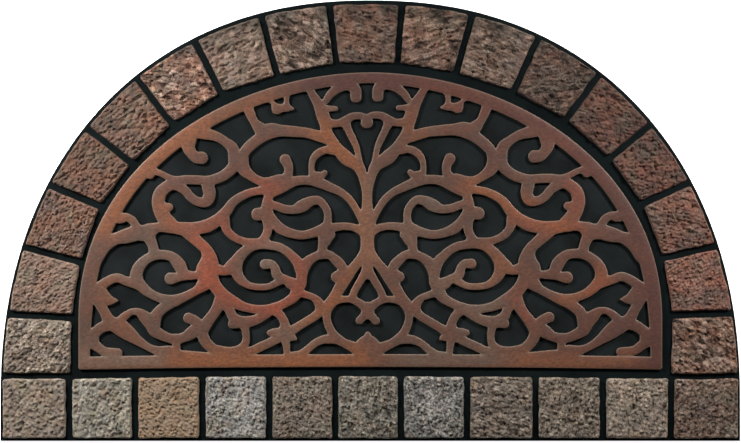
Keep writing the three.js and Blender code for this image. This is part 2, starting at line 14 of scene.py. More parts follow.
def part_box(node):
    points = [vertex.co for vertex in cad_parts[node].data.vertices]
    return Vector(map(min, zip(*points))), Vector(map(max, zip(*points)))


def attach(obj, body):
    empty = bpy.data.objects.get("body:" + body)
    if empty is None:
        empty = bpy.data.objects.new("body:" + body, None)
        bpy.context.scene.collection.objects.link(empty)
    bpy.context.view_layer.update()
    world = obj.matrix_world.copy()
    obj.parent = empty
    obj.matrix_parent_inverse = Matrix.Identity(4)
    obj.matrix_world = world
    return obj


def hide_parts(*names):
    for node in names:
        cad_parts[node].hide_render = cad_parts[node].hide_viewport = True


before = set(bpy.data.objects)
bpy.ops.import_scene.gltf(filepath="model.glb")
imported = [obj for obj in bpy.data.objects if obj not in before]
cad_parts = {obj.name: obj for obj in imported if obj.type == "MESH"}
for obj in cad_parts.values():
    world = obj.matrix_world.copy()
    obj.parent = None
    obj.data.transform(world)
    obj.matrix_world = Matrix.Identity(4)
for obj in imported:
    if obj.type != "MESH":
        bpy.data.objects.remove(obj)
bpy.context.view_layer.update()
mat_low, mat_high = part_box("mat")
print("packed mat, mm:", [round(1000 * side, 1) for side in mat_high - mat_low])

# %% [markdown]
# ## Sizes
# A mould maker works in millimetres from the mat's flat edge, so the tables here do too.
# Blender works in metres from the middle of the mat. One small function goes from the first
# to the second, and nothing else in the lesson has to think about it.

# %% Name the sizes
MM = 0.001
MAT_WIDTH = (mat_high.x - mat_low.x) / MM
MAT_DEPTH = (mat_high.y - mat_low.y) / MM
SHEET_TOP = 4.5
PANEL_TOP = 7.5
STONE_TOP = 7.9
SUNK_INTO_SHEET = 0.5


def in_metres(points):
    """Points in millimetres, with y from the flat edge, as points in metres in the mat's frame."""
    return (np.asarray(points, float) - (0, MAT_DEPTH / 2, 0)) * MM


def mesh_object(name, points, faces):
    """A named object with a mesh of those points in millimetres."""
    mesh = bpy.data.meshes.new(name)
    mesh.from_pydata(in_metres(points).tolist(), [], [list(face) for face in faces])
    mesh.update()
    made = bpy.data.objects.new(name, mesh)
    bpy.context.scene.collection.objects.link(made)
    return made


def note_points(made, name, values, kind="FLOAT"):
    """Writes one value for each point of the mesh under a name that materials and trees can read."""
    field = {"FLOAT": "value", "FLOAT_COLOR": "color", "FLOAT_VECTOR": "vector"}[kind]
    attribute = made.data.attributes.new(name, kind, "POINT")
    attribute.data.foreach_set(field, np.asarray(values, np.float32).ravel())


print(f"mat {MAT_WIDTH:.0f} x {MAT_DEPTH:.0f} mm, sheet {SHEET_TOP} mm thick")

# %% [markdown]
# ## Camera
# The picture looks straight down on the mat and the mat fills it. So the camera hangs over the
# middle of the picture, with a long lens that hardly bends the straight edge, at the height
# where the mat's width takes up the whole width of the frame.

# %% Hang the camera over the mat
PICTURE_WIDTH_PX = 741
PICTURE_HEIGHT_PX = 443
MAT_LEFT_PX = 0.3
MAT_RIGHT_PX = 740.3
FLAT_EDGE_PX = 441.0
LENS_MM = 85
SENSOR_MM = 36

mm_per_px = MAT_WIDTH / (MAT_RIGHT_PX - MAT_LEFT_PX)
picture_mm = PICTURE_WIDTH_PX * mm_per_px
camera_x = (PICTURE_WIDTH_PX / 2 - (MAT_LEFT_PX + MAT_RIGHT_PX) / 2) * mm_per_px
camera_y = (FLAT_EDGE_PX - PICTURE_HEIGHT_PX / 2) * mm_per_px
camera_height = picture_mm * LENS_MM / SENSOR_MM + SHEET_TOP

camera = bpy.data.objects.new("camera", bpy.data.cameras.new("camera"))
camera.data.lens = LENS_MM
camera.data.sensor_width = SENSOR_MM
camera.location = in_metres([camera_x, camera_y, camera_height])
bpy.context.scene.collection.objects.link(camera)
bpy.context.scene.camera = camera
print(f"camera {camera_height:.0f} mm above the floor, {mm_per_px:.3f} mm to a pixel")

# %% [markdown]
# ## Floor and light
# A pale sheet of paper on a light table, and soft light, as in a small studio. The table shines
# through the paper, so the mat's own shadow does not grey it. Two lamps stand at the back, to the
# left and to the right, low enough to graze the stones and to draw a dark line under the edges
# that face away from them. A weak, even sky keeps the recesses from going fully black.

# %% Lay the floor and set the lamps
FLOOR_SIDE = 12.0
PAPER_GLOW = 0.9
SKY_GLOW = 0.1

# Where each lamp stands, the point it faces and how wide it is, in metres; its cone is in degrees
LAMPS = {
    "left_lamp": {
        "place": (-0.9, 0.65, 0.62), "aim": (-0.22, 0, 0), "side": 0.25, "watts": 4.2, "cone": 60},
    "right_lamp": {
        "place": (0.9, 0.65, 0.62), "aim": (0.22, 0, 0), "side": 0.25, "watts": 2.9, "cone": 60},
    "front_lamp": {
        "place": (0, -1.3, 1.6), "aim": (0, 0, 0), "side": 0.8, "watts": 0.6, "cone": 180},
}


def linear(hex_colour, alpha=1.0):
    """An sRGB hex colour as the linear red, green, blue and alpha that Blender's sockets take."""
    shares = np.array([int(hex_colour[i:i + 2], 16) for i in (1, 3, 5)]) / 255
    curved = np.where(shares <= 0.04045, shares / 12.92, ((shares + 0.055) / 1.055) ** 2.4)
    return (*curved.tolist(), alpha)


def add(tree, kind, inputs=None, out=0, **settings):
    """Adds a node, sets its properties, fills its inputs and returns one of its outputs.
    An input is named or numbered, and takes a plain value or another node's output."""
    made = tree.nodes.new(kind)
    for name, value in settings.items():
        setattr(made, name, value)
    for key, value in (inputs or {}).items():
        if isinstance(value, bpy.types.NodeSocket):
            tree.links.new(value, made.inputs[key])
        else:
            made.inputs[key].default_value = value
    return made.outputs[out] if len(made.outputs) else made


def new_material(name):
    """An empty material that uses nodes."""
    material = bpy.data.materials.new(name)
    material.use_nodes = True
    material.node_tree.nodes.clear()
    return material


def soft_lamp(name, place, aim, side, watts, cone):
    """A square lamp, turned to face a point, its light held within a cone in degrees."""
    lamp = bpy.data.objects.new(name, bpy.data.lights.new(name, "AREA"))
    lamp.data.size = side
    lamp.data.spread = np.radians(cone)
    lamp.data.energy = watts
    lamp.location = place
    lamp.rotation_euler = (Vector(aim) - Vector(place)).to_track_quat("-Z", "Y").to_euler()
    bpy.context.scene.collection.objects.link(lamp)


half = FLOOR_SIDE / 2
floor_mesh = bpy.data.meshes.new("floor")
floor_mesh.from_pydata(
    [(-half, -half, 0), (half, -half, 0), (half, half, 0), (-half, half, 0)], [], [(0, 1, 2, 3)])
floor = bpy.data.objects.new("floor", floor_mesh)
bpy.context.scene.collection.objects.link(floor)
pale_paper = new_material("pale_paper")
add(pale_paper.node_tree, "ShaderNodeOutputMaterial", {"Surface": add(
    pale_paper.node_tree, "ShaderNodeBsdfPrincipled",
    {"Base Color": linear("#f4f3f1"), "Roughness": 0.9,
     "Emission Color": linear("#ffffff"), "Emission Strength": PAPER_GLOW})})
floor_mesh.materials.append(pale_paper)

for lamp_name, lamp in LAMPS.items():
    soft_lamp(lamp_name, **lamp)

sky = bpy.data.worlds.new("sky")
sky.use_nodes = True
sky_light = sky.node_tree.nodes["Background"].inputs
sky_light["Color"].default_value = linear("#f2f4f7")
sky_light["Strength"].default_value = SKY_GLOW
bpy.context.scene.world = sky
bpy.context.scene.view_settings.view_transform = "Standard"
print("floor and lamps:", floor.name, *LAMPS)

# %% [markdown]
# ## Outline of an arch
# The mat's edge and both edges of the band are arches that stand on the flat edge: straight at
# the foot and then rounder than an ellipse. One rule draws all three,
# (x / half) ^ across + ((y - spring) / (crown - spring)) ^ up = 1, and each has its own numbers.

# %% Write the arch as a rule
MAT_ARCH = {"half": MAT_WIDTH / 2, "crown": MAT_DEPTH, "spring": 43, "across": 2.21, "up": 2.18}
BAND_OUTER = {"half": 300.2, "crown": 379.4, "spring": 123.6, "across": 1.92, "up": 2.14}
BAND_INNER = {"half": 288.5, "crown": 368.2, "spring": 52, "across": 1.72, "up": 3.05}
OUTLINE_POINTS = 240


def outside_arch(arch, x, y):
    """How far points are outside an arch, in millimetres; negative inside."""
    def level(px, py):
        rise = np.maximum((py - arch["spring"]) / (arch["crown"] - arch["spring"]), 0)
        return np.abs(px / arch["half"]) ** arch["across"] + rise ** arch["up"] - 1

    step, least_slope = 0.01, 1e-4
    slope_x = (level(x + step, y) - level(x - step, y)) / (2 * step)
    slope_y = (level(x, y + step) - level(x, y - step)) / (2 * step)
    return level(x, y) / np.maximum(np.hypot(slope_x, slope_y), least_slope)


def arch_outline(arch, count):
    """The arch's closed outline, anticlockwise from the left end of the flat edge."""
    turn = np.linspace(0, np.pi, count)
    across = np.sign(np.cos(turn)) * np.abs(np.cos(turn)) ** (2 / arch["across"])
    up = np.sin(turn).clip(0) ** (2 / arch["up"])
    rise = arch["crown"] - arch["spring"]
    curve = np.stack([arch["half"] * across, arch["spring"] + rise * up], axis=1)
    return np.concatenate([[(-arch["half"], 0), (arch["half"], 0)], curve])


mat_outline = arch_outline(MAT_ARCH, OUTLINE_POINTS)

# %% [markdown]
# ## The black sheet
# The sheet carries everything. Its edge is a little rounded where the rubber left the mould.
# We stack rings: the outline drawn in by a share of the edge radius, at the height that a
# quarter circle gives there. One last ring runs hidden under the band and parts the top in two:
# the grooves outside and the panel's floor inside. The grooves get a darker black, which is
# painted shade between the stones and the band, and the floor gets a lighter one.

# %% Make the sheet
EDGE_RADIUS = 1.1
EDGE_STEPS = 5
SHEET_CREASE = 0.6
PARTING_INSET = 6
PARTING_FOOT = 81
PARTING = {
    **BAND_OUTER,
    "half": BAND_OUTER["half"] - PARTING_INSET,
    "crown": BAND_OUTER["crown"] - PARTING_INSET,
}


def drawn_in(outline, distance):
    """A convex outline moved inwards by a distance."""
    before, after = np.roll(outline, 1, axis=0), np.roll(outline, -1, axis=0)
    first = (outline - before) / np.linalg.norm(outline - before, axis=1, keepdims=True)
    second = (after - outline) / np.linalg.norm(after - outline, axis=1, keepdims=True)
    inward = np.stack([-(first + second)[:, 1], (first + second)[:, 0]], axis=1)
    inward /= np.linalg.norm(inward, axis=1, keepdims=True)
    corner = np.sqrt((1 + np.sum(first * second, axis=1, keepdims=True)) / 2)
    return outline + inward * distance / corner.clip(0.5)


def make_sheet():
    """The sheet as stacked rings, closed by a face below and a face above; the last is the floor."""
    turns = np.linspace(0, np.pi / 2, EDGE_STEPS)
    below = [(EDGE_RADIUS * (1 - np.sin(t)), EDGE_RADIUS * (1 - np.cos(t))) for t in turns]
    above = [(draw, SHEET_TOP - height) for draw, height in reversed(below)]
    rings = [
        np.column_stack([drawn_in(mat_outline, draw), np.full(len(mat_outline), height)])
        for draw, height in below + above
    ]
    count = len(mat_outline)
    parting = arch_outline(PARTING, count - 2)
    parting[:, 1] = parting[:, 1].clip(PARTING_FOOT)
    rings.append(np.column_stack([parting, np.full(count, SHEET_TOP)]))
    faces = [range(count - 1, -1, -1)]
    for ring in range(len(rings) - 1):
        for i in range(count):
            j = (i + 1) % count
            low, high = ring * count, (ring + 1) * count
            faces.append((low + i, low + j, high + j, high + i))
    faces.append(range((len(rings) - 1) * count, len(rings) * count))
    return mesh_object("rubber_sheet", np.concatenate(rings), faces)


sheet = make_sheet()
sheet.data.shade_smooth()
sheet.data.set_sharp_from_angle(angle=SHEET_CREASE)
print("sheet faces:", len(sheet.data.polygons))

# %% [markdown]
# ## Where the stones lie
# Each joint between two arch stones is a line from the rim to the panel. The bottom row's joints
# stand square to the flat edge. Every stone also gets a kind of rock, how light it is, how strong
# its lights and darks are, how many millimetres a grain is wide, how it was hewn (0 is a grainy
# face, 1 a face split into ledges) and how many degrees its grain turns anticlockwise from level.
# Some stones turn greyer and darker towards the rim.

# %% List the joints and the stones
GROOVE_WIDTH = 6.6
FLAT_EDGE_LIP = 3
SIDE_LIP = 2.5
ARCH_LIP_AT_TOP = 4.5
ARCH_LIP_AT_FOOT = 2
BOTTOM_ROW_TOP = 64
FOOT_BOW = 2.7

ARCH_JOINTS = [
    {"rim": (-379, 66.5), "panel": (-309, 66)},
    {"rim": (-373, 130.5), "panel": (-307, 127)},
    {"rim": (-357.5, 199.5), "panel": (-298, 184)},
    {"rim": (-329.5, 263), "panel": (-278.5, 241.5)},
    {"rim": (-291, 321.5), "panel": (-245.5, 286)},
    {"rim": (-239.5, 372.5), "panel": (-204, 326.5)},
    {"rim": (-179.5, 409.5), "panel": (-153.5, 358.5)},
    {"rim": (-111, 433), "panel": (-96, 376.5)},
    {"rim": (-42, 448), "panel": (-35, 388.5)},
    {"rim": (33, 449), "panel": (27.5, 388.5)},
    {"rim": (105, 439), "panel": (88.5, 379)},
    {"rim": (172.5, 414.5), "panel": (147.5, 360)},
    {"rim": (234.5, 376), "panel": (201.5, 331)},
    {"rim": (287.5, 324.5), "panel": (246.5, 291)},
    {"rim": (327, 265.5), "panel": (280, 244)},
    {"rim": (357, 201), "panel": (302, 188)},
    {"rim": (373.5, 131.5), "panel": (311, 129.5)},
    {"rim": (380, 66), "panel": (309.5, 65.5)},
]
BOTTOM_ROW_JOINTS = [-310, -242, -173, -104, -36, 31.5, 99.5, 170, 239.5, 309.5]

# The rocks that the print shows: the main colour and the colour of its cloudy patches
ROCKS = {
    "buff": {"main": "#756659", "clouds": "#5f564e"},
    "sandstone": {"main": "#7b644f", "clouds": "#6d5d4d"},
    "ash": {"main": "#6a6865", "clouds": "#5a5956"},
    "olive": {"main": "#686258", "clouds": "#55534c"},
    "fawn": {"main": "#775c4e", "clouds": "#67574e"},
    "russet": {"main": "#825a47", "clouds": "#634f46"},
    "rose": {"main": "#875544", "clouds": "#614841"},
}

# The arch stones from the left foot over the crown to the right foot
ARCH_STONES = [
    {"rock": "buff", "light": 0.88, "contrast": 1.9, "grain": 3.0, "hewn": 0.5, "lean": 45},
    {"rock": "fawn", "light": 0.82, "contrast": 0.55, "grain": 2.4, "hewn": 0.2, "lean": 35},
    {"rock": "russet", "light": 0.52, "contrast": 1, "grain": 2.6, "hewn": 0.3, "lean": 60},
    {"rock": "russet", "light": 0.46, "contrast": 0.35, "grain": 2.8, "hewn": 0.4, "lean": 45, "rim_grey": 0.3},
    {"rock": "russet", "light": 0.5, "contrast": 0.7, "grain": 3.2, "hewn": 0.6, "lean": 35, "rim_grey": 0.5},
    {"rock": "russet", "light": 0.68, "contrast": 1.85, "grain": 3.2, "hewn": 0.8, "lean": -10, "rim_grey": 0.6},
    {"rock": "fawn", "light": 0.74, "contrast": 1.1, "grain": 3.4, "hewn": 0.85, "lean": 30, "rim_grey": 0.9},
    {"rock": "fawn", "light": 0.54, "contrast": 2.4, "grain": 3.4, "hewn": 1, "lean": -30, "rim_grey": 0.9},
    {"rock": "russet", "light": 0.48, "contrast": 1.2, "grain": 3.0, "hewn": 0.7, "lean": -20, "rim_grey": 1},
    {"rock": "russet", "light": 0.48, "contrast": 2.4, "grain": 3.4, "hewn": 1, "lean": 15, "rim_grey": 1},
    {"rock": "fawn", "light": 0.58, "contrast": 1.65, "grain": 3.0, "hewn": 0.8, "lean": -25, "rim_grey": 1},
    {"rock": "russet", "light": 0.28, "contrast": 2.4, "grain": 2.8, "hewn": 0.7, "lean": 5, "rim_grey": 1},
    {"rock": "rose", "light": 0.34, "contrast": 0.75, "grain": 2.8, "hewn": 0.4, "lean": -15, "rim_grey": 0.8},
    {"rock": "rose", "light": 0.4, "contrast": 0.5, "grain": 3.0, "hewn": 0.3, "lean": 5, "rim_grey": 0.6},
    {"rock": "rose", "light": 0.52, "contrast": 1.1, "grain": 3.0, "hewn": 0.4, "lean": -15, "rim_grey": 0.3},
    {"rock": "rose", "light": 0.62, "contrast": 1.1, "grain": 2.4, "hewn": 0.1, "lean": 25},
    {"rock": "russet", "light": 0.58, "contrast": 2.4, "grain": 2.8, "hewn": 0.9, "lean": -45},
]

# The stones of the bottom row, from the left
BOTTOM_STONES = [
    {"rock": "buff", "light": 1.14, "contrast": 0.75, "grain": 2.8, "hewn": 0.3, "lean": 55},
    {"rock": "olive", "light": 1.32, "contrast": 1.15, "grain": 2.8, "hewn": 0.6, "lean": 60},
    {"rock": "sandstone", "light": 1.04, "contrast": 0.3, "grain": 2.2, "hewn": 0.1, "lean": 55},
    {"rock": "ash", "light": 1.12, "contrast": 1.3, "grain": 2.4, "hewn": 0.2, "lean": 70},
    {"rock": "buff", "light": 0.66, "contrast": 1.5, "grain": 2.2, "hewn": 0.1, "lean": 60},
    {"rock": "olive", "light": 0.74, "contrast": 2.4, "grain": 2.6, "hewn": 0.4, "lean": 75},
    {"rock": "ash", "light": 0.74, "contrast": 2.4, "grain": 2.4, "hewn": 0.3, "lean": 65},
    {"rock": "buff", "light": 0.6, "contrast": 1.7, "grain": 2.6, "hewn": 0.4, "lean": -25},
    {"rock": "buff", "light": 0.64, "contrast": 2.4, "grain": 2.8, "hewn": 0.3, "lean": 70},
    {"rock": "buff", "light": 0.96, "contrast": 1.5, "grain": 2.6, "hewn": 0.3, "lean": 80},
    {"rock": "fawn", "light": 0.56, "contrast": 2.4, "grain": 2.6, "hewn": 0.4, "lean": 50},
]
print(len(ARCH_STONES), "arch stones,", len(BOTTOM_STONES), "in the bottom row")

# %% [markdown]
# ## The plan of a stone
# A stone's plan takes a share along it and a share across it, and gives a point. On the arch the
# outer side follows the rim, less a narrow lip, so it is curved. Each plan runs a little past the
# stone's own edge, because that edge will wander.

# %% Draw the plans
EDGE_ROOM = 1.3
# The search for the rim runs to this many times a joint's length, and its span is halved so often
PAST_THE_RIM = 1.6
HALVINGS = 30


def towards(start, end, share):
    """The point at a share of the way from start to end."""
    return np.asarray(start, float) + (np.asarray(end, float) - start) * share


def beside_joint(joint, which, side):
    """The rim or panel point of a joint, moved sideways by half a groove."""
    line = np.subtract(joint["rim"], joint["panel"])
    sideways = np.array([line[1], -line[0]]) / np.hypot(*line)
    return joint[which] + sideways * side * GROOVE_WIDTH / 2


def rim_point(start, end):
    """Where the line from a point of the panel edge meets the rim, less the rim's lip."""
    near, beyond = 0.0, PAST_THE_RIM
    for _ in range(HALVINGS):
        middle = (near + beyond) / 2
        x, y = towards(start, end, middle)
        lip = ARCH_LIP_AT_FOOT + (ARCH_LIP_AT_TOP - ARCH_LIP_AT_FOOT) * max(y, 0) / MAT_DEPTH
        if outside_arch(MAT_ARCH, x, y) < -lip:
            near = middle
        else:
            beyond = middle
    return towards(start, end, near)


def arch_plan(joint, next_joint):
    """The plan of the stone between two joints of the arch."""
    panel = beside_joint(joint, "panel", 1), beside_joint(next_joint, "panel", -1)
    rim = beside_joint(joint, "rim", 1), beside_joint(next_joint, "rim", -1)

    def plan(along, across):
        foot = towards(*panel, along)
        return towards(rim_point(foot, towards(*rim, along)), foot, across)
    return plan


def foot_bow(x):
    """How far the top of the bottom row, and the panel's foot above it, rise towards the middle."""
    return FOOT_BOW * np.maximum(1 - (x / BAND_OUTER["half"]) ** 2, 0)


def bottom_plan(left, right):
    """The plan of a stone in the bottom row."""
    def plan(along, across):
        x = left + (right - left) * along
        top = BOTTOM_ROW_TOP + foot_bow(x)
        return np.array([x, top - (top - FLAT_EDGE_LIP) * across])
    return plan


row_end = MAT_WIDTH / 2 - SIDE_LIP + GROOVE_WIDTH / 2
row_joints = [-row_end, *BOTTOM_ROW_JOINTS, row_end]
arch_plans = [arch_plan(a, b) for a, b in zip(ARCH_JOINTS, ARCH_JOINTS[1:])]
bottom_plans = [
    bottom_plan(a + GROOVE_WIDTH / 2, b - GROOVE_WIDTH / 2)
    for a, b in zip(row_joints, row_joints[1:])
]
print("first arch stone, corner to corner:", arch_plans[0](0, 0).round(1), arch_plans[0](1, 1).round(1))

# %% [markdown]
# ## Blanks for the stones
# A blank is a coarse flat patch on the stone's plan, closed by one face underneath. Its points
# know how far they are from each of the four sides, and which stone they belong to. The node tree
# in the next step cuts every blank finer and hews it, so the tree never needs to know a shape.

# %% Cut the blanks
FIELDS_A_SIDE = 10
EDGE_FIELD = 3.4


def spread_shares(length):
    """Shares along a side: a narrow field at each end and even fields between."""
    ends = EDGE_FIELD / length
    return np.concatenate([[0], np.linspace(ends, 1 - ends, FIELDS_A_SIDE - 1), [1]])


def blank_points(plan):
    """The patch's points, and for each its distances from the start, end, rim and panel sides."""
    length = np.linalg.norm(plan(1, 0.5) - plan(0, 0.5))
    width = np.linalg.norm(plan(0.5, 1) - plan(0.5, 0))
    points, distances = [], []
    for across in spread_shares(width):
        for along in spread_shares(length):
            wide = np.array([along * (length + 2 * EDGE_ROOM) - EDGE_ROOM,
                             across * (width + 2 * EDGE_ROOM) - EDGE_ROOM])
            x, y = plan(wide[0] / length, wide[1] / width)
            here = np.linalg.norm(plan(1, wide[1] / width) - plan(0, wide[1] / width))
            points.append((x, y, SHEET_TOP - SUNK_INTO_SHEET))
            distances.append((wide[0] / length * here, (1 - wide[0] / length) * here,
                              wide[1], width - wide[1]))
    return points, distances


def stone_blanks(name, plans, stones, first_number):
    """One object with the blanks of several stones."""
    side = FIELDS_A_SIDE + 1
    points, faces, notes = [], [], {}
    for number, (plan, stone) in enumerate(zip(plans, stones), first_number):
        start = len(points)
        placed, distances = blank_points(plan)
        points += placed
        for row in range(FIELDS_A_SIDE):
            for column in range(FIELDS_A_SIDE):
                corner = start + row * side + column
                faces.append((corner, corner + side, corner + side + 1, corner + 1))
        last = side - 1
        border = [*range(last), *(last + side * k for k in range(last)),
                  *(side * side - 1 - k for k in range(last)),
                  *(side * (last - k) for k in range(last))]
        faces.append([start + k for k in border])
        on_border = np.zeros(side * side)
        on_border[border] = 1
        rock = ROCKS[stone["rock"]]
        same = np.ones((side * side, 1))
        for key, values in {
            "from_start": np.array(distances)[:, :1] * MM,
            "from_end": np.array(distances)[:, 1:2] * MM,
            "from_rim": np.array(distances)[:, 2:3] * MM,
            "from_panel": np.array(distances)[:, 3:] * MM,
            "inner": 1 - on_border[:, None],
            "number": same * number,
            "rim_greying": same * stone.get("rim_grey", 0),
            "grain": same * stone["grain"] * MM,
            "hewn": same * stone["hewn"],
            "lean": same * -np.radians(stone["lean"]),
            "light": same * stone["light"],
            "contrast": same * stone["contrast"],
            "rock_main": same * linear(rock["main"]),
            "rock_clouds": same * linear(rock["clouds"]),
        }.items():
            notes.setdefault(key, []).append(values)
    made = mesh_object(name, points, faces)
    for key, values in notes.items():
        values = np.concatenate(values)
        note_points(made, key, values, "FLOAT" if values.shape[1] == 1 else "FLOAT_COLOR")
    return made


LEFT_STONES, CROWN_STONES = 6, 5
groups = {
    "arch_stones_left": (arch_plans[:LEFT_STONES], ARCH_STONES[:LEFT_STONES], 1),
    "arch_stones_crown": (
        arch_plans[LEFT_STONES:LEFT_STONES + CROWN_STONES],
        ARCH_STONES[LEFT_STONES:LEFT_STONES + CROWN_STONES], 1 + LEFT_STONES),
    "arch_stones_right": (
        arch_plans[LEFT_STONES + CROWN_STONES:], ARCH_STONES[LEFT_STONES + CROWN_STONES:],
        1 + LEFT_STONES + CROWN_STONES),
    "bottom_row_stones": (bottom_plans, BOTTOM_STONES, 1 + len(ARCH_STONES)),
}
stones = [stone_blanks(name, *group) for name, group in groups.items()]
print("blanks:", {made.name: len(made.data.polygons) for made in stones})

# %% [markdown]
# ## Hewing the stones with a node tree
# Twenty-eight stones that share one way of being made are work for Geometry Nodes. The tree
# first measures how far each point is inside the stone's edge, which wanders a little and turns
# round corners. That distance becomes the slope at the edge. Then two kinds of roughness are
# mixed: round grains, and ledges that lean one way as on split rock. Small flat facets tilt each
# to its own side, as where a chisel broke the face, and wide lumps swell under them all. No pit
# may go deeper than a set depth.

# %% Build the hewing tree
def named_inputs(tree, sizes):
    """Gives a tree a geometry in and out, and an input for each named size; returns their outputs."""
    tree.interface.new_socket("Geometry", in_out="INPUT", socket_type="NodeSocketGeometry")
    tree.interface.new_socket("Geometry", in_out="OUTPUT", socket_type="NodeSocketGeometry")
    for name, (kind, value) in sizes.items():
        socket = tree.interface.new_socket(name, in_out="INPUT", socket_type="NodeSocket" + kind)
        if value is not None:
            socket.default_value = value
    return tree.nodes.new("NodeGroupInput").outputs


def attribute(tree, name, kind="FLOAT"):
    """Reads a named value of the points in a node tree."""
    return add(tree, "GeometryNodeInputNamedAttribute", {"Name": name}, data_type=kind)


def shape_curve(socket, points):
    """Bends a float curve node through the points, each a pair of a value and its result."""
    mapping = socket.node.mapping
    mapping.clip_max_y, mapping.clip_min_y = 1.0, -1.0
    curve = mapping.curves[0]
    curve.points[0].location, curve.points[1].location = points[0], points[-1]
    for point in points[1:-1]:
        curve.points.new(*point)
    mapping.update()


# Widths in millimetres: of the edge's wander, of a lump and of a swirl, and how far a swirl pulls
WANDER_MM = 15
LUMP_MM = 13
SWIRL_MM = 5
SWIRL_PULL_MM = 4
# How many cells of noise there are to the width of one grain
GRAIN_CELLS = 0.9
LEDGE_CELLS = 0.5
FACET_CELLS = 0.8
# What the noise is multiplied by along the lean; less than 1 draws it out
GRAINY_DRAW = 0.85
LEDGED_DRAW = 0.5
# A stone's edge rises steeply and then turns into the top
STEEP_EDGE = [(0, 0), (0.08, 0.3), (0.2, 0.62), (0.45, 0.85), (1, 1)]
# A hewn face is mostly level, with separate pits where the noise is low and a few crests
PITTED = [(0, -1), (0.34, -1), (0.44, -0.25), (0.52, 0.15), (0.62, 0.4), (0.75, 0.9), (1, 1)]

hewing = bpy.data.node_groups.new("hewing", "GeometryNodeTree")
given = named_inputs(hewing, {
    "Fineness": ("Int", 3),
    "Height": ("Float", (STONE_TOP - SHEET_TOP + SUNK_INTO_SHEET) * MM),
    "Edge slope": ("Float", 2.4 * MM),
    "Corner radius": ("Float", 2.8 * MM),
    "Edge wander": ("Float", 3.6 * MM),
    "Relief": ("Float", 1.0 * MM),
    "Lumps": ("Float", 2.6 * MM),
    "Facet tilt": ("Float", 1.4),
    "Deepest pit": ("Float", 2.3 * MM),
    "Material": ("Material", None),
})
fine = add(hewing, "GeometryNodeSubdivideMesh", {"Mesh": given["Geometry"], "Level": given["Fineness"]})
place = add(hewing, "GeometryNodeInputPosition")
number = attribute(hewing, "number")

wander = add(hewing, "ShaderNodeTexNoise", {
    "Vector": place, "W": number, "Scale": 1 / (WANDER_MM * MM), "Detail": 3.0, "Roughness": 0.5,
}, noise_dimensions="4D")
wander = add(hewing, "ShaderNodeMath", {0: wander, 1: 0.5}, operation="SUBTRACT")
wander = add(hewing, "ShaderNodeMath", {0: wander, 1: given["Edge wander"]}, operation="MULTIPLY")

short_of_corner = []
for first, second in (("from_start", "from_end"), ("from_rim", "from_panel")):
    nearer = add(hewing, "ShaderNodeMath", {
        0: attribute(hewing, first), 1: attribute(hewing, second)}, operation="MINIMUM")
    nearer = add(hewing, "ShaderNodeMath", {0: nearer, 1: wander}, operation="ADD")
    short = add(hewing, "ShaderNodeMath", {0: given["Corner radius"], 1: nearer}, operation="SUBTRACT")
    short_of_corner.append(add(hewing, "ShaderNodeMath", {0: short, 1: 0.0}, operation="MAXIMUM"))
away = add(hewing, "ShaderNodeCombineXYZ", {0: short_of_corner[0], 1: short_of_corner[1]})
away = add(hewing, "ShaderNodeVectorMath", {0: away}, out="Value", operation="LENGTH")
inside = add(hewing, "ShaderNodeMath", {0: given["Corner radius"], 1: away}, operation="SUBTRACT")
slope = add(hewing, "ShaderNodeMapRange", {
    "Value": inside, "From Min": 0.0, "From Max": given["Edge slope"]})
rounded = add(hewing, "ShaderNodeFloatCurve", {"Value": slope})
shape_curve(rounded, STEEP_EDGE)

leaning = add(hewing, "ShaderNodeVectorRotate", {
    "Vector": place, "Angle": attribute(hewing, "lean")}, rotation_type="Z_AXIS")
hewn = attribute(hewing, "hewn")
drawn_out = add(hewing, "ShaderNodeMapRange", {
    "Value": hewn, "To Min": GRAINY_DRAW, "To Max": LEDGED_DRAW})
drawn_out = add(hewing, "ShaderNodeCombineXYZ", {0: drawn_out, 1: 1.0, 2: 1.0})
grain_space = add(hewing, "ShaderNodeVectorMath", {0: leaning, 1: drawn_out}, operation="MULTIPLY")
grain = attribute(hewing, "grain")
grains = add(hewing, "ShaderNodeTexNoise", {
    "Vector": grain_space, "W": number, "Detail": 3.0, "Roughness": 0.62, "Distortion": 0.3,
    "Scale": add(hewing, "ShaderNodeMath", {0: GRAIN_CELLS, 1: grain}, operation="DIVIDE"),
}, noise_dimensions="4D")
grains = add(hewing, "ShaderNodeFloatCurve", {"Value": grains})
shape_curve(grains, PITTED)
ledges = add(hewing, "ShaderNodeTexNoise", {
    "Vector": grain_space, "W": number, "Detail": 4.0, "Roughness": 0.65, "Distortion": 0.8,
    "Scale": add(hewing, "ShaderNodeMath", {0: LEDGE_CELLS, 1: grain}, operation="DIVIDE"),
}, noise_dimensions="4D")
ledges = add(hewing, "ShaderNodeFloatCurve", {"Value": ledges})
shape_curve(ledges, PITTED)
relief = add(hewing, "ShaderNodeMix", {
    0: hewn, 2: grains, 3: ledges}, data_type="FLOAT", clamp_factor=True)

swirl = add(hewing, "ShaderNodeTexNoise", {
    "Vector": place, "Scale": 1 / (SWIRL_MM * MM), "Detail": 2.0}, out="Color")
swirl = add(hewing, "ShaderNodeVectorMath", {
    0: swirl, "Scale": SWIRL_PULL_MM * MM}, operation="SCALE")
swirl = add(hewing, "ShaderNodeVectorMath", {0: swirl, 1: grain_space}, operation="ADD")
facets = add(hewing, "ShaderNodeTexVoronoi", {
    "Vector": swirl,
    "Scale": add(hewing, "ShaderNodeMath", {0: FACET_CELLS, 1: grain}, operation="DIVIDE"),
}, out="Position", voronoi_dimensions="2D")
facet_random = facets.node.outputs["Color"]
chip_tone = add(hewing, "ShaderNodeSeparateXYZ", {0: facet_random})
from_middle = add(hewing, "ShaderNodeVectorMath", {0: swirl, 1: facets}, operation="SUBTRACT")
downhill = add(hewing, "ShaderNodeVectorMath", {
    0: facet_random, 1: (0.5, 0.5, 0.5)}, operation="SUBTRACT")
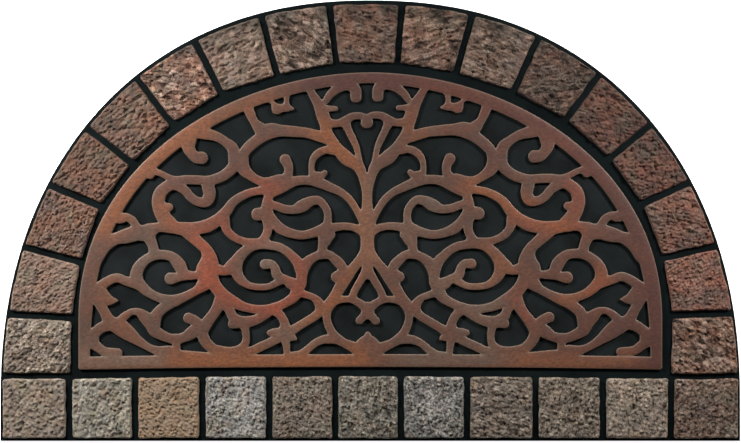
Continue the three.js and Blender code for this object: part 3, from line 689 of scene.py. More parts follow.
downhill = add(hewing, "ShaderNodeVectorMath", {
    0: downhill, 1: (1.0, 1.0, 0.0)}, operation="MULTIPLY")
tilt = add(hewing, "ShaderNodeVectorMath", {0: from_middle, 1: downhill}, out="Value",
           operation="DOT_PRODUCT")
tilt = add(hewing, "ShaderNodeMath", {0: tilt, 1: given["Facet tilt"]}, operation="MULTIPLY")

lumps = add(hewing, "ShaderNodeTexNoise", {
    "Vector": grain_space, "W": number, "Scale": 1 / (LUMP_MM * MM), "Detail": 2.0, "Roughness": 0.6,
}, noise_dimensions="4D")
lumps = add(hewing, "ShaderNodeMath", {0: lumps, 1: 0.5}, operation="SUBTRACT")
lump_height = add(hewing, "ShaderNodeMath", {0: lumps, 1: given["Lumps"]}, operation="MULTIPLY")
relief = add(hewing, "ShaderNodeMath", {0: relief, 1: lumps}, operation="ADD")
noted = add(hewing, "GeometryNodeStoreNamedAttribute", {
    "Geometry": fine, "Name": "relief", "Value": relief}, data_type="FLOAT", domain="POINT")
noted = add(hewing, "GeometryNodeStoreNamedAttribute", {
    "Geometry": noted, "Name": "chip_tone", "Value": chip_tone}, data_type="FLOAT", domain="POINT")

rise = add(hewing, "ShaderNodeMath", {0: rounded, 1: given["Height"]}, operation="MULTIPLY")
rough = add(hewing, "ShaderNodeMath", {0: relief, 1: given["Relief"]}, operation="MULTIPLY")
rough = add(hewing, "ShaderNodeMath", {0: rough, 1: lump_height}, operation="ADD")
rough = add(hewing, "ShaderNodeMath", {0: rough, 1: tilt}, operation="ADD")
pit_floor = add(hewing, "ShaderNodeMath", {0: given["Deepest pit"], 1: -1.0}, operation="MULTIPLY")
rough = add(hewing, "ShaderNodeMath", {0: rough, 1: pit_floor}, operation="MAXIMUM")
rough = add(hewing, "ShaderNodeMath", {0: rough, 1: slope}, operation="MULTIPLY")
lift = add(hewing, "ShaderNodeMath", {0: rise, 1: rough}, operation="ADD")
upper = add(hewing, "FunctionNodeCompare", {0: attribute(hewing, "inner"), 1: 0.001},
            data_type="FLOAT", operation="GREATER_THAN")
hewn_stones = add(hewing, "GeometryNodeSetPosition", {
    "Geometry": noted, "Selection": upper, "Offset": add(hewing, "ShaderNodeCombineXYZ", {2: lift})})
hewn_stones = add(hewing, "GeometryNodeRealizeInstances", {"Geometry": hewn_stones})
hewn_stones = add(hewing, "GeometryNodeSetMaterial", {
    "Geometry": hewn_stones, "Material": given["Material"]})
add(hewing, "NodeGroupOutput", {"Geometry": hewn_stones})
print("hewing tree:", len(hewing.nodes), "nodes")

# %% [markdown]
# ## Running a tree
# A modifier carries the tree. Its inputs are filled through their identifiers, then the result
# is taken as a plain mesh and the modifier goes, so that what is left is ordinary geometry.

# %% Hew all the stones
def run_tree(made, tree, values):
    """Puts the object through a node tree and keeps the result as its own plain mesh."""
    modifier = made.modifiers.new(tree.name, "NODES")
    modifier.node_group = tree
    sockets = {s.name: s.identifier for s in tree.interface.items_tree if s.in_out == "INPUT"}
    for name, value in values.items():
        modifier[sockets[name]] = value
    evaluated = made.evaluated_get(bpy.context.evaluated_depsgraph_get())
    mesh = bpy.data.meshes.new_from_object(evaluated)
    made.modifiers.remove(modifier)
    made.data = mesh
    mesh.shade_smooth()
    mesh.name = made.name


stone_print = new_material("stone_print_on_rubber")
for made in stones:
    run_tree(made, hewing, {"Material": stone_print})
    heights = np.array([v.co.z for v in made.data.vertices]) / MM
    print(made.name, len(made.data.polygons), "faces, top", heights.max().round(2), "mm")

# %% [markdown]
# ## The scrollwork
# A smith would bend the scrolls from bar and weld them where they touch. We do the same with
# distances: each bar is a smooth line through a few stations with a width at each. Where two bars
# come together the distances are joined with a small fillet, as a weld would look. Only the left
# half is listed, because the right half is its mirror image.

# %% List the bars
BAND_FOOT = 73.5
BAND_FOOT_WIDTH = 13.3
BAND_CORNER_RADIUS = 2.5
SCROLL_AXIS = 3
SCROLL_MIDDLE = 200
RIGHT_HALF_STRETCH = 1.012
RIGHT_HALF_GROWTH = 1.005
RIGHT_HALF_LEAN = 0.008
RIGHT_HALF_RISE = 0.006
JUNCTION_FILLET = 2

# Each station is (distance left of the middle, height above the flat edge, width of the bar)
SCROLL_BARS = {
    "fork": [
        (63.5, 362.8, 6.5), (58.7, 355.5, 8.5), (53, 346, 11), (49.5, 337, 13), (46, 327, 13),
        (45, 319, 11), (40, 309, 12), (33, 300, 12), (24.5, 291.3, 14.5),
        (13.5, 283, 10.8), (8.5, 274.5, 9.7), (6, 266, 9),
    ],
    "crown hook": [
        (46, 350, 7), (41, 357, 8.3), (33, 363, 9.4), (23, 366, 10.6), (15.6, 362, 11.4),
        (14.8, 353.8, 11.4),
    ],
    "fork nub": [(45, 342, 7), (35.7, 342, 5.2)],
    "petal": [
        (42, 327, 9), (33, 327, 8), (25.3, 330, 9), (18.5, 334, 7.8), (10, 334.6, 7.2), (4, 332.8, 5.5),
    ],
    "petal stalk": [
        (25.5, 327, 9.5), (22, 319, 7.5), (18, 311, 7.5), (14.5, 303, 6.5), (12.5, 295, 6),
        (10.8, 287, 6), (8, 279.5, 6.5),
    ],
    "bud": [(3, 331.5, 6), (3.8, 327.7, 11.6)],
    "great C": [
        (46, 311.5, 11.5), (55, 314.3, 11.4), (66, 317.2, 10.6), (79, 318.5, 11.5), (92, 319.3, 12.4),
        (104, 318.7, 16.5), (114, 311.5, 12), (123, 304.5, 11.5), (129.5, 297, 11), (131, 289, 11.5),
        (130, 280, 13), (121.5, 272, 9.5), (112, 267, 9.5), (103, 265, 14), (94, 267, 15),
    ],
    "C curl": [(89, 266, 14), (84.5, 275, 9.5), (84.3, 283, 9.5), (87.5, 289.7, 11.3)],
    "fork curl": [
        (38, 298.5, 8.5), (46, 299.5, 8), (54, 296, 8), (59, 290, 7), (60.6, 282, 6), (60, 275, 6.5),
    ],
    "curl nub": [(56, 273, 9), (50.5, 273.3, 7.5), (47, 276, 5.8)],
    "shoulder": [
        (99, 256, 9.5), (90, 261.5, 11.5), (77, 267.5, 10), (64, 268.3, 9.6), (52, 265.7, 10.5),
        (41, 261, 9.5), (30, 255.8, 8.2), (21, 248.3, 7.7), (15, 239.5, 7.3), (9.7, 230, 7.8),
        (6, 222, 8),
    ],
    "leaf": [
        (106, 244, 9), (97, 242, 8.5), (88, 238.7, 9), (78, 238.3, 9.5), (70, 242, 13),
        (62, 246.5, 10.5), (54, 247.7, 9), (48.3, 243.6, 8), (44.4, 237, 8), (43.7, 228, 8),
        (46, 218, 10),
    ],
    "cradle": [
        (106, 238, 9), (101, 230, 8), (94, 220, 11), (83, 214.3, 10), (70, 212, 9), (58, 214.5, 10),
        (48, 218.5, 11),
    ],
    "tie": [(46, 218, 12), (36, 220, 9), (26, 221, 8), (16, 219.5, 8), (8, 216, 10)],
    "tie nub": [(45, 205.5, 9), (43, 209, 9), (40.5, 212.3, 9)],
    "left post": [
        (103, 262, 12), (104.5, 253, 9.5), (106.3, 243, 10.8), (107, 232, 11), (105.3, 222, 9.5),
        (106.5, 213.5, 9), (111, 206, 9),
    ],
    "post ball": [(108, 236, 9), (115.5, 233.5, 13.6)],
    "ball ring": [
        (107, 204.5, 8.5), (118, 204.5, 8.5), (128, 205, 8), (137, 208, 8), (144, 213, 8.5),
        (148.3, 219, 9), (150, 227, 11),
    ],
    "long arm": [
        (104, 258, 9), (114, 257.5, 8.5), (124, 255.5, 8.5), (134, 251, 9), (142, 245, 9.5),
        (148, 236.6, 11), (156.5, 228, 12.5), (167.5, 221.5, 14), (180, 219, 13), (192, 218.4, 14),
        (204, 220, 12), (216, 220, 10), (228, 219.5, 9),
    ],
    "knee": [
        (187, 214, 13), (177, 205, 11.5), (169.5, 198, 11.5), (166, 190, 15), (166, 182, 20),
        (168.5, 174.5, 21), (163, 166, 14),
    ],
    "arch": [
        (25.5, 174, 7), (31, 182, 10.5), (40, 190.3, 9), (45.5, 192, 9.4), (51, 192, 9), (60, 188, 9.5),
        (66.5, 182, 11.5), (70, 172, 10.5), (71, 163, 11),
    ],
    "stirrup": [
        (71, 172, 10), (74.5, 183.5, 11), (80, 190, 9.5), (87, 196, 9), (95, 200, 9), (104, 201.5, 9),
        (114, 202, 9.5), (124, 199, 10), (133, 191.5, 11.5), (137.5, 183, 12.5), (137.5, 174, 12),
        (133, 166, 10), (125, 160.3, 7.5), (115, 158.5, 7), (105, 159, 7), (97, 162.5, 7.5), (88, 167, 7.5),
    ],
    "stirrup brace": [(137, 187, 11), (144, 178.8, 13)],
    "stirrup curl": [
        (78, 163, 9), (90, 167.3, 8.5), (96, 171.5, 10.5), (98, 178, 9), (102, 182, 9),
        (108.3, 182, 10.6),
    ],
    "thorn": [(78, 158.5, 8), (83, 160.3, 7), (87.3, 162.8, 2.5)],
    "cross arm": [(138, 178, 10), (150, 175, 9.5), (156.5, 176.3, 11), (163, 173, 12)],
    "link": [(48, 214, 11), (48.5, 206, 10), (49, 200, 9.5), (50, 192, 9)],
    "stem": [
        (3, 269, 12), (3, 262, 11.3), (3, 255, 9.6), (3, 244, 9.6), (3, 232, 13), (3, 220, 15.5),
        (3, 208, 12.8), (3, 198, 13.2), (3, 189, 13), (3, 181, 10.5), (3, 172, 10),
    ],
    "outer leg": [
        (5, 196, 10), (9, 189, 10), (14.5, 181.7, 10), (20, 175, 11), (26, 167, 13), (31, 158.5, 12),
        (36, 150, 11), (41, 143, 11), (46, 137, 10),
    ],
    "leg nub": [(28, 171, 15), (35, 169, 11)],
    "inner leg": [
        (3.6, 177.5, 8), (8, 169, 8), (12.3, 161.5, 7.7), (16.3, 154.5, 7.5), (18, 149, 8),
    ],
    "ring top": [
        (43, 138.5, 9.5), (37, 144.2, 9.5), (28, 145.8, 7.2), (19, 145.6, 7.4), (11, 142, 8.5), (5, 137, 9),
    ],
    "ring side": [(44, 137, 9), (44.8, 127, 8), (42.5, 118, 8.5), (38, 110, 9), (31, 104, 8.5)],
    "knot": [(3, 139, 8), (3, 134, 11.5), (3, 130, 8)],
    "knot nub": [(4, 132, 8.3), (11, 124.2, 8.3)],
    "base arch": [
        (79, 87, 10.5), (72, 89, 9), (65, 94, 8), (57.5, 100.3, 8), (50, 104, 8.8), (44, 105, 9.5),
        (34, 104, 9), (25, 100, 9.5), (15, 95.5, 12), (8, 90, 13),
    ],
    "base bud": [(3, 86, 30), (3, 94, 28), (3, 105.5, 9), (3, 109.8, 5.2)],
    "buckle": [
        (75, 153.5, 9), (66, 150.5, 7.5), (58, 147.5, 7.5), (52.5, 141.5, 10), (52, 134, 10),
        (57, 128.5, 9), (65, 123.5, 9), (74, 118, 9), (82, 113, 10),
    ],
    "great arc": [
        (73, 160, 12), (76, 153, 12), (79.5, 147.5, 11), (87, 142.5, 9.5), (97, 138, 9.5),
        (108, 135.5, 9.5), (120, 136, 9), (131, 138.5, 10), (141, 143.5, 12), (150, 149.3, 12.8),
        (157.5, 157, 13), (163.5, 167, 13),
    ],
    "drop stalk": [
        (99, 135, 10), (92, 129, 9), (88, 121, 9.5), (88, 113, 12), (87.5, 105, 9), (86.3, 98, 7.5),
        (85.5, 90, 6.5),
    ],
    "drop thorn": [(88, 111, 12), (98, 111.5, 9.5), (103.5, 111.5, 6)],
    "drop foot": [(88, 107, 10), (80, 106.5, 7), (77, 105.3, 3.5)],
    "drop strut": [(134, 90, 8), (122, 93, 9), (112, 97.5, 9.5), (103, 101.5, 9.5), (95, 106, 10)],
    "hood": [(127, 347, 10), (123.5, 337, 10), (119, 328, 9), (112.5, 320.5, 14)],
    "pendant": [(109, 354, 8), (101, 348.5, 4), (96, 341.5, 11)],
    "pendant stalk": [(85.5, 359, 7), (86.2, 350, 5.2), (86, 343, 8)],
    "pendant bar": [(96, 341.5, 8), (88, 343, 8), (80, 342, 3.5)],
    "loop": [
        (180, 319, 14), (168, 316, 12), (158, 313.3, 10), (149, 308, 9.5), (141.5, 301, 12),
        (140.3, 291, 11.5), (141, 282.5, 12), (149, 274.5, 11), (158, 270, 11), (168, 268.3, 9.3),
        (180, 268.7, 9.8), (192, 268.8, 9.4), (204, 267, 9),
    ],
    "loop hook": [
        (186, 312, 15.5), (187, 303, 13.5), (184, 296.5, 11), (179, 292, 12), (173.5, 291.3, 13.2),
    ],
    "brace": [(226, 278, 8), (217, 276, 6.5), (208, 271.5, 6.5), (200, 268, 8)],
    "band nub": [(232, 279, 9), (226.5, 274, 9)],
    "hairpin": [
        (168, 267, 9.5), (166.8, 261.5, 13), (165.3, 254, 12.5), (168.5, 246.8, 12), (177, 246.3, 9.4),
        (184.5, 251, 9.2), (190, 257.5, 9.5), (197, 262, 10),
    ],
    "left C": [
        (200, 265, 12), (208, 262.5, 12), (215.5, 256, 13), (218, 247, 13.5), (216.5, 238, 13.5),
        (212, 230, 15), (206, 222.5, 16),
    ],
    "left C nub": [(214, 240, 11), (207, 240.5, 8.6)],
    "band hook": [
        (263, 231, 10.5), (257, 229.3, 11), (251, 230.3, 8.5), (244.5, 226.8, 8.5), (240.5, 220, 9),
    ],
    "side strand": [
        (282, 190, 16), (275, 201.5, 17), (262, 208, 12.5), (251, 211, 15.5), (240, 214, 16),
        (230, 214.5, 16), (220, 219, 9),
    ],
    "side link": [(227, 208.5, 12), (224, 202, 10.5), (222.3, 195, 10.5)],
    "side C": [
        (184, 170, 8), (192, 173, 11), (196.3, 181.3, 13), (204, 189.6, 10.5), (214, 191.8, 10),
        (224, 190.3, 10), (233, 185, 10.5), (239.5, 176, 12.5), (240, 166, 13), (233, 157, 11),
        (224, 150.5, 9.5), (213, 146.5, 9.5), (201, 145, 11.5), (189, 149.5, 9.5), (178, 155.5, 9.5),
        (171, 161.5, 14), (165, 165, 12),
    ],
    "side ball": [(171, 170.5, 10), (182, 170.5, 8), (195, 168.8, 8.5), (205.3, 167.3, 12.6)],
    "wing": [(281, 156.5, 11), (271, 164, 10), (261, 168, 9.5), (252, 165, 9.5), (241, 162, 11)],
    "wing thorn": [(277, 151, 15.5), (270.3, 145.3, 12), (260.5, 144.5, 2.5)],
    "wing strut": [
        (286, 153, 10), (279.5, 143, 10.5), (273.5, 133, 10.5), (267.5, 123, 13), (255.7, 116, 17.2),
        (247, 109.5, 14.5), (239, 103.5, 10.5), (229, 97, 8), (219, 93, 9.5), (207.5, 91.5, 14),
    ],
    "wing brace": [(292, 107, 9), (283, 112, 11), (276, 117, 11.5), (267, 120, 12)],
    "corner strut": [
        (292, 105, 13), (282.5, 98.5, 10.5), (274, 92.5, 9.5), (266, 91.5, 9), (259.5, 91, 9),
    ],
    "corner fill": [(290, 107, 14), (286, 105, 14)],
    "inner loop": [
        (261, 120, 9), (254, 127.3, 8.7), (246, 132.8, 7), (238, 132.5, 8.5), (231, 127, 13),
        (224.5, 121, 15.5), (221, 113, 12.5), (209, 106.7, 10.2), (199, 105, 10.5), (190, 107.5, 10.5),
        (183, 112, 13.5), (174, 118, 12),
    ],
    "loop neck": [(200, 144, 10), (211, 138.5, 11), (219, 131.5, 11.5), (222, 124, 13)],
    "loop foot": [(200, 106, 8), (199.5, 98, 8), (199, 88, 9)],
    "foot swell": [(208, 86, 14), (194, 86.5, 14), (180, 86, 13), (165, 85, 12)],
    "heart left": [
        (153, 147, 14), (157, 138, 12), (162, 130, 11), (168, 122, 12), (172, 113, 11),
        (171.2, 105.8, 11.5), (165.8, 98.3, 11), (157.5, 92.5, 10), (149, 88, 9),
    ],
    "heart ball": [(173, 117, 10), (180, 123.5, 10.5), (187, 126.7, 11)],
    "heart right": [
        (151, 144, 12), (145, 135, 9.5), (141, 127.5, 10.5), (133, 123, 11.5), (124, 123, 11.5),
        (115, 126, 10), (106, 131.5, 9.5), (99, 137, 9),
    ],
    "heart nub": [(133, 121.5, 10), (141.5, 120.5, 9.8)],
    "heart side": [
        (131, 121, 8), (128.5, 114, 8), (127.7, 106, 7.5), (129.5, 99, 8.5), (136, 94, 9),
        (146, 92.5, 9), (156, 94, 9),
    ],
}
print(len(SCROLL_BARS), "bars in the left half,", sum(map(len, SCROLL_BARS.values())), "stations")

# %% [markdown]
# ## From bars to one field of distances
# A grid of points over the panel holds how far each point is outside the rubber. The band starts
# it, every bar is added over the part of the grid that it reaches, and the band's outer edge
# trims it. The edge of the scrollwork is then simply where this distance is zero.

# %% Measure the distances
GRID_CELL = 0.75
GRID_MARGIN = 6
BAR_REACH = 12
STEPS_A_STATION = 5

grid_x = np.arange(-BAND_OUTER["half"] - GRID_MARGIN, BAND_OUTER["half"] + GRID_MARGIN, GRID_CELL)
grid_y = np.arange(BAND_FOOT - GRID_MARGIN, BAND_OUTER["crown"] + GRID_MARGIN, GRID_CELL)


def smooth_bar(stations, is_right):
    """Points along a bar, each with its width, on a curve that passes through the stations."""
    placed = np.array(stations, float)
    if is_right:
        out, high = placed[:, 0] - SCROLL_AXIS, placed[:, 1] - SCROLL_MIDDLE
        placed[:, 0] = out * RIGHT_HALF_STRETCH - high * RIGHT_HALF_LEAN - SCROLL_AXIS
        placed[:, 1] = out * RIGHT_HALF_RISE + high * RIGHT_HALF_GROWTH + SCROLL_MIDDLE
    else:
        placed[:, 0] *= -1
    placed = np.vstack([2 * placed[0] - placed[1], placed, 2 * placed[-1] - placed[-2]])
    t = np.linspace(0, 1, STEPS_A_STATION, endpoint=False)[:, None]
    parts = [
        0.5 * (2 * b + (c - a) * t + (2 * a - 5 * b + 4 * c - d) * t**2 + (3 * b - a - 3 * c + d) * t**3)
        for a, b, c, d in zip(placed, placed[1:], placed[2:], placed[3:])
    ]
    return np.vstack([*parts, placed[-2]])


def outside_bar(bar, x, y):
    """How far points are outside a bar, as the least over its short straight stretches."""
    outside = np.full(x.shape, np.inf)
    for a, b in zip(bar, bar[1:]):
        dx, dy = b[:2] - a[:2]
        share = ((x - a[0]) * dx + (y - a[1]) * dy) / (dx * dx + dy * dy + 1e-9)
        share = share.clip(0, 1)
        radius = (a[2] + (b[2] - a[2]) * share) / 2
        outside = np.minimum(outside, np.hypot(x - a[0] - dx * share, y - a[1] - dy * share) - radius)
    return outside


def filleted(a, b):
    """Two distances joined with a small fillet where they are nearly the same."""
    closeness = np.maximum(JUNCTION_FILLET - np.abs(a - b), 0) / JUNCTION_FILLET
    return np.minimum(a, b) - closeness**2 * JUNCTION_FILLET / 4


def panel_distances():
    """How far each point of the grid is outside the band and the bars."""
    x, y = np.meshgrid(grid_x, grid_y)
    foot = BAND_FOOT + foot_bow(x)
    distances = -np.maximum(outside_arch(BAND_INNER, x, y), foot + BAND_FOOT_WIDTH - y)
    for stations in SCROLL_BARS.values():
        for is_right in (False, True):
            bar = smooth_bar(stations, is_right)
            low, high = bar[:, :2].min(0) - BAR_REACH, bar[:, :2].max(0) + BAR_REACH
            columns = slice(*np.searchsorted(grid_x, (low[0], high[0])))
            rows = slice(*np.searchsorted(grid_y, (low[1], high[1])))
            outside = outside_bar(bar, x[rows, columns], y[rows, columns])
            distances[rows, columns] = filleted(distances[rows, columns], outside)
    past_arch = outside_arch(BAND_OUTER, x, y) + BAND_CORNER_RADIUS
    past_foot = foot - y + BAND_CORNER_RADIUS
    corner = np.hypot(past_arch.clip(0), past_foot.clip(0))
    rim = np.minimum(np.maximum(past_arch, past_foot), 0) + corner - BAND_CORNER_RADIUS
    return np.maximum(distances, rim)


distances = panel_distances()
print("grid", distances.shape, "rubber share", round(float((distances < 0).mean()), 3))

# %% [markdown]
# ## Lines of equal distance
# To round the bars' edges we need three lines: the edge itself and two more a little further in.
# Each is found cell by cell: where the distance passes the level between two grid points, the
# line crosses, and the crossings join up into closed loops. Points that a loop can do without
# to within a few hundredths of a millimetre are dropped.

# %% Trace the loops
def level_loops(level):
    """Closed loops along which the distance equals a level, with the rubber on their left."""
    below = distances < level
    count = (below[:-1, :-1] + 0) + below[1:, :-1] + below[:-1, 1:] + below[1:, 1:]
    following, places = {}, {}

    def crossing(start, end):
        a, b = distances[start] - level, distances[end] - level
        key = (min(start, end), max(start, end))
        row = start[0] + (end[0] - start[0]) * a / (a - b)
        column = start[1] + (end[1] - start[1]) * a / (a - b)
        places[key] = (grid_x[0] + column * GRID_CELL, grid_y[0] + row * GRID_CELL)
        return key

    for row, column in np.argwhere((count > 0) & (count < 4)).tolist():
        corners = [(row, column), (row, column + 1), (row + 1, column + 1), (row + 1, column)]
        inside = [below[corner] for corner in corners]
        for start in range(4):
            if not inside[start] or inside[start - 1]:
                continue
            last = start
            while inside[(last + 1) % 4]:
                last = (last + 1) % 4
            leaving = crossing(corners[last % 4], corners[(last + 1) % 4])
            following[leaving] = crossing(corners[start - 1], corners[start])
    loops = []
    while following:
        key = next(iter(following))
        loop = []
        while key in following:
            loop.append(places[key])
            key = following.pop(key)
        loops.append(np.array(loop))
    return loops


def thinned(loop, tolerance):
    """A loop without the points that it can do without."""
    halves = [0, len(loop) // 2, len(loop)]
    closed = np.vstack([loop, loop[:1]])
    keep = set(halves[:2])
    spans = list(zip(halves, halves[1:]))
    while spans:
        first, last = spans.pop()
        if last - first < 2:
            continue
        along = closed[last] - closed[first]
        away = closed[first + 1:last] - closed[first]
        off = np.abs(away[:, 0] * along[1] - away[:, 1] * along[0]) / max(np.hypot(*along), 1e-9)
        farthest = first + 1 + int(off.argmax())
        if off.max() > tolerance:
            keep.add(farthest)
            spans += [(first, farthest), (farthest, last)]
    return closed[sorted(keep)]


# Each line's distance from the edge, and how far a dropped point may have stood off it
EDGE_LEVELS = {0.0: 0.05, -0.45: 0.06, -1.1: 0.08}
SHORTEST_LOOP = 8

loops = []
for level, tolerance in EDGE_LEVELS.items():
    found = [thinned(loop, tolerance) for loop in level_loops(level) if len(loop) > SHORTEST_LOOP]
    loops += [loop for loop in found if len(loop) > 3]
print(len(loops), "loops,", sum(map(len, loops)), "points")

# %% [markdown]
# ## The scrollwork's plan
# All the loops and a loose net of points between them are joined into triangles that never cross
# a loop. The triangles over the openings are dropped. Every point keeps its distance from the
# edge, and next to it how much of each tone the printed rust has there, from a table of places.

# %% Join the loops into a plan
NET_CELL = 4.0
CLEAR_OF_EDGE = 1.9
SAME_POINT = 1e-4

# Soft areas where the print leans to one tone: from a point to a point, right of the middle and
# above the flat edge, and how far the tone reaches round that line
PRINT_TONES = {
    "orange": [
        {"start": (-272, 225), "end": (-232, 285), "reach": 18, "share": 0.8},
        {"start": (-232, 285), "end": (-175, 325), "reach": 18, "share": 0.85},
        {"start": (-200, 80), "end": (-16, 84), "reach": 18, "share": 0.85},
        {"start": (-295, 82), "end": (-200, 80), "reach": 18, "share": 0.45},
        {"start": (155, 82), "end": (268, 84), "reach": 16, "share": 0.6},
        {"start": (-52, 322), "end": (-22, 292), "reach": 16, "share": 0.9},
        {"start": (-18, 285), "end": (-2, 195), "reach": 14, "share": 0.7},
        {"start": (105, 262), "end": (200, 218), "reach": 13, "share": 0.75},
        {"start": (-70, 118), "end": (-35, 146), "reach": 13, "share": 0.7},
        {"start": (-30, 150), "end": (-12, 185), "reach": 12, "share": 0.5},
        {"start": (-215, 240), "end": (-205, 225), "reach": 16, "share": 0.6},
        {"start": (120, 188), "end": (138, 176), "reach": 14, "share": 0.5},
        {"start": (-265, 160), "end": (-250, 110), "reach": 20, "share": 0.35},
        {"start": (40, 330), "end": (62, 300), "reach": 16, "share": 0.35},
        {"start": (200, 146), "end": (242, 172), "reach": 14, "share": 0.6},
        {"start": (95, 160), "end": (125, 168), "reach": 13, "share": 0.5},
        {"start": (-170, 328), "end": (-105, 350), "reach": 15, "share": 0.45},
    ],
    "red": [
        {"start": (295, 80), "end": (288, 200), "reach": 20, "share": 0.15},
        {"start": (80, 366), "end": (150, 345), "reach": 14, "share": 0.25},
        {"start": (160, 345), "end": (235, 270), "reach": 16, "share": 0.3},
        {"start": (-172, 200), "end": (-166, 165), "reach": 21, "share": 1.0},
        {"start": (-160, 158), "end": (-95, 138), "reach": 16, "share": 0.8},
        {"start": (-95, 138), "end": (-62, 158), "reach": 15, "share": 0.6},
        {"start": (-150, 218), "end": (-100, 208), "reach": 14, "share": 0.5},
        {"start": (-74, 165), "end": (-78, 188), "reach": 15, "share": 0.6},
        {"start": (-190, 222), "end": (-160, 226), "reach": 16, "share": 0.4},
        {"start": (213, 262), "end": (215, 244), "reach": 15, "share": 0.5},
        {"start": (152, 232), "end": (215, 217), "reach": 14, "share": 0.35},
        {"start": (-120, 262), "end": (-100, 255), "reach": 16, "share": 0.5},
        {"start": (60, 362), "end": (110, 348), "reach": 18, "share": 0.4},
        {"start": (155, 150), "end": (160, 128), "reach": 14, "share": 0.35},
        {"start": (240, 145), "end": (232, 165), "reach": 16, "share": 0.4},
    ],
    "maroon": [
        {"start": (295, 75), "end": (292, 180), "reach": 26, "share": 0.9},
        {"start": (285, 195), "end": (215, 305), "reach": 22, "share": 0.8},
        {"start": (-60, 372), "end": (60, 374), "reach": 24, "share": 0.8},
        {"start": (60, 372), "end": (200, 318), "reach": 18, "share": 0.7},
        {"start": (90, 290), "end": (150, 300), "reach": 26, "share": 0.4},
        {"start": (200, 110), "end": (270, 120), "reach": 30, "share": 0.55},
        {"start": (-15, 345), "end": (10, 335), "reach": 22, "share": 0.5},
        {"start": (180, 180), "end": (250, 190), "reach": 26, "share": 0.35},
        {"start": (-185, 280), "end": (-150, 285), "reach": 22, "share": 0.3},
    ],
    "pale": [
        {"start": (-250, 182), "end": (-190, 185), "reach": 24, "share": 0.3},
        {"start": (-115, 178), "end": (-100, 200), "reach": 18, "share": 0.55},
        {"start": (85, 165), "end": (115, 140), "reach": 24, "share": 0.4},
        {"start": (-60, 108), "end": (-90, 108), "reach": 16, "share": 0.4},
        {"start": (40, 82), "end": (120, 86), "reach": 18, "share": 0.35},
        {"start": (-230, 190), "end": (-215, 160), "reach": 22, "share": 0.4},
        {"start": (60, 240), "end": (30, 210), "reach": 22, "share": 0.3},
        {"start": (-2, 195), "end": (-2, 262), "reach": 16, "share": 0.3},
        {"start": (-298, 85), "end": (-225, 82), "reach": 16, "share": 0.6},
    ],
}


def distance_at(points):
    """The distance from the grid at any points, mixed from the four grid points round each."""
    column = ((points[:, 0] - grid_x[0]) / GRID_CELL).clip(0, len(grid_x) - 1.001)
    row = ((points[:, 1] - grid_y[0]) / GRID_CELL).clip(0, len(grid_y) - 1.001)
    i, j = row.astype(int), column.astype(int)
    u, v = column - j, row - i
    near = distances[i, j] * (1 - u) + distances[i, j + 1] * u
    far = distances[i + 1, j] * (1 - u) + distances[i + 1, j + 1] * u
    return near * (1 - v) + far * v


def tone_at(points, areas):
    """How strong a tone is at points, from the areas of its table."""
    strength = np.zeros(len(points))
    for area in areas:
        start, line = np.array(area["start"], float), np.subtract(area["end"], area["start"])
        share = ((points - start) @ line / (line @ line)).clip(0, 1)
        away = np.linalg.norm(points - start - share[:, None] * line, axis=1)
        strength = np.maximum(strength, area["share"] * np.exp(-(away / area["reach"]) ** 2))
    return strength


def make_panel_plan():
    """The flat plan of the scrollwork with its distances and tones."""
    net_x = np.arange(grid_x[0], grid_x[-1], NET_CELL)
    net_y = np.arange(grid_y[0], grid_y[-1], NET_CELL)
    net = np.stack(np.meshgrid(net_x, net_y), axis=-1).reshape(-1, 2)
    net = net[distance_at(net) < -CLEAR_OF_EDGE]
    points, edges = [], []
    for loop in loops:
        first = len(points)
        points += loop.tolist()
        edges += [(first + i, first + (i + 1) % len(loop)) for i in range(len(loop))]
    points += net.tolist()
    flat, _, faces, *_ = delaunay_2d_cdt(
        [Vector(p) for p in points], edges, [], 0, SAME_POINT, False)
    flat = np.array([tuple(p) for p in flat])
    faces = np.array(faces)
    faces = faces[distance_at(flat[faces].mean(axis=1)) < 0]
    used, faces = np.unique(faces, return_inverse=True)
    flat, faces = flat[used], faces.reshape(-1, 3)
    a, b, c = (flat[faces[:, k]] for k in range(3))
    area = (b - a)[:, 0] * (c - a)[:, 1] - (b - a)[:, 1] * (c - a)[:, 0]
    faces[area < 0] = faces[area < 0][:, ::-1]
    base = np.full((len(flat), 1), SHEET_TOP - SUNK_INTO_SHEET)
    made = mesh_object("scroll_panel", np.hstack([flat, base]), faces.tolist())
    note_points(made, "from_edge", (-distance_at(flat)).clip(0) * MM)
    for tone, areas in PRINT_TONES.items():
        note_points(made, tone, tone_at(flat, areas))
    return made


panel = make_panel_plan()
print("panel plan:", len(panel.data.polygons), "triangles")

# %% [markdown]
# ## Raising the scrollwork with a node tree
# The second tree follows the surface of the plan. It lifts a copy of the plan, hangs walls from
# its border and closes it below. The distance from the edge rounds the bars over, gives them a
# slight crown, and a soft noise adds the shallow dents that a hammer leaves on real iron.

# %% Build the raising tree and run it
WELD_MM = 0.002
BAR_CREASE = 0.7

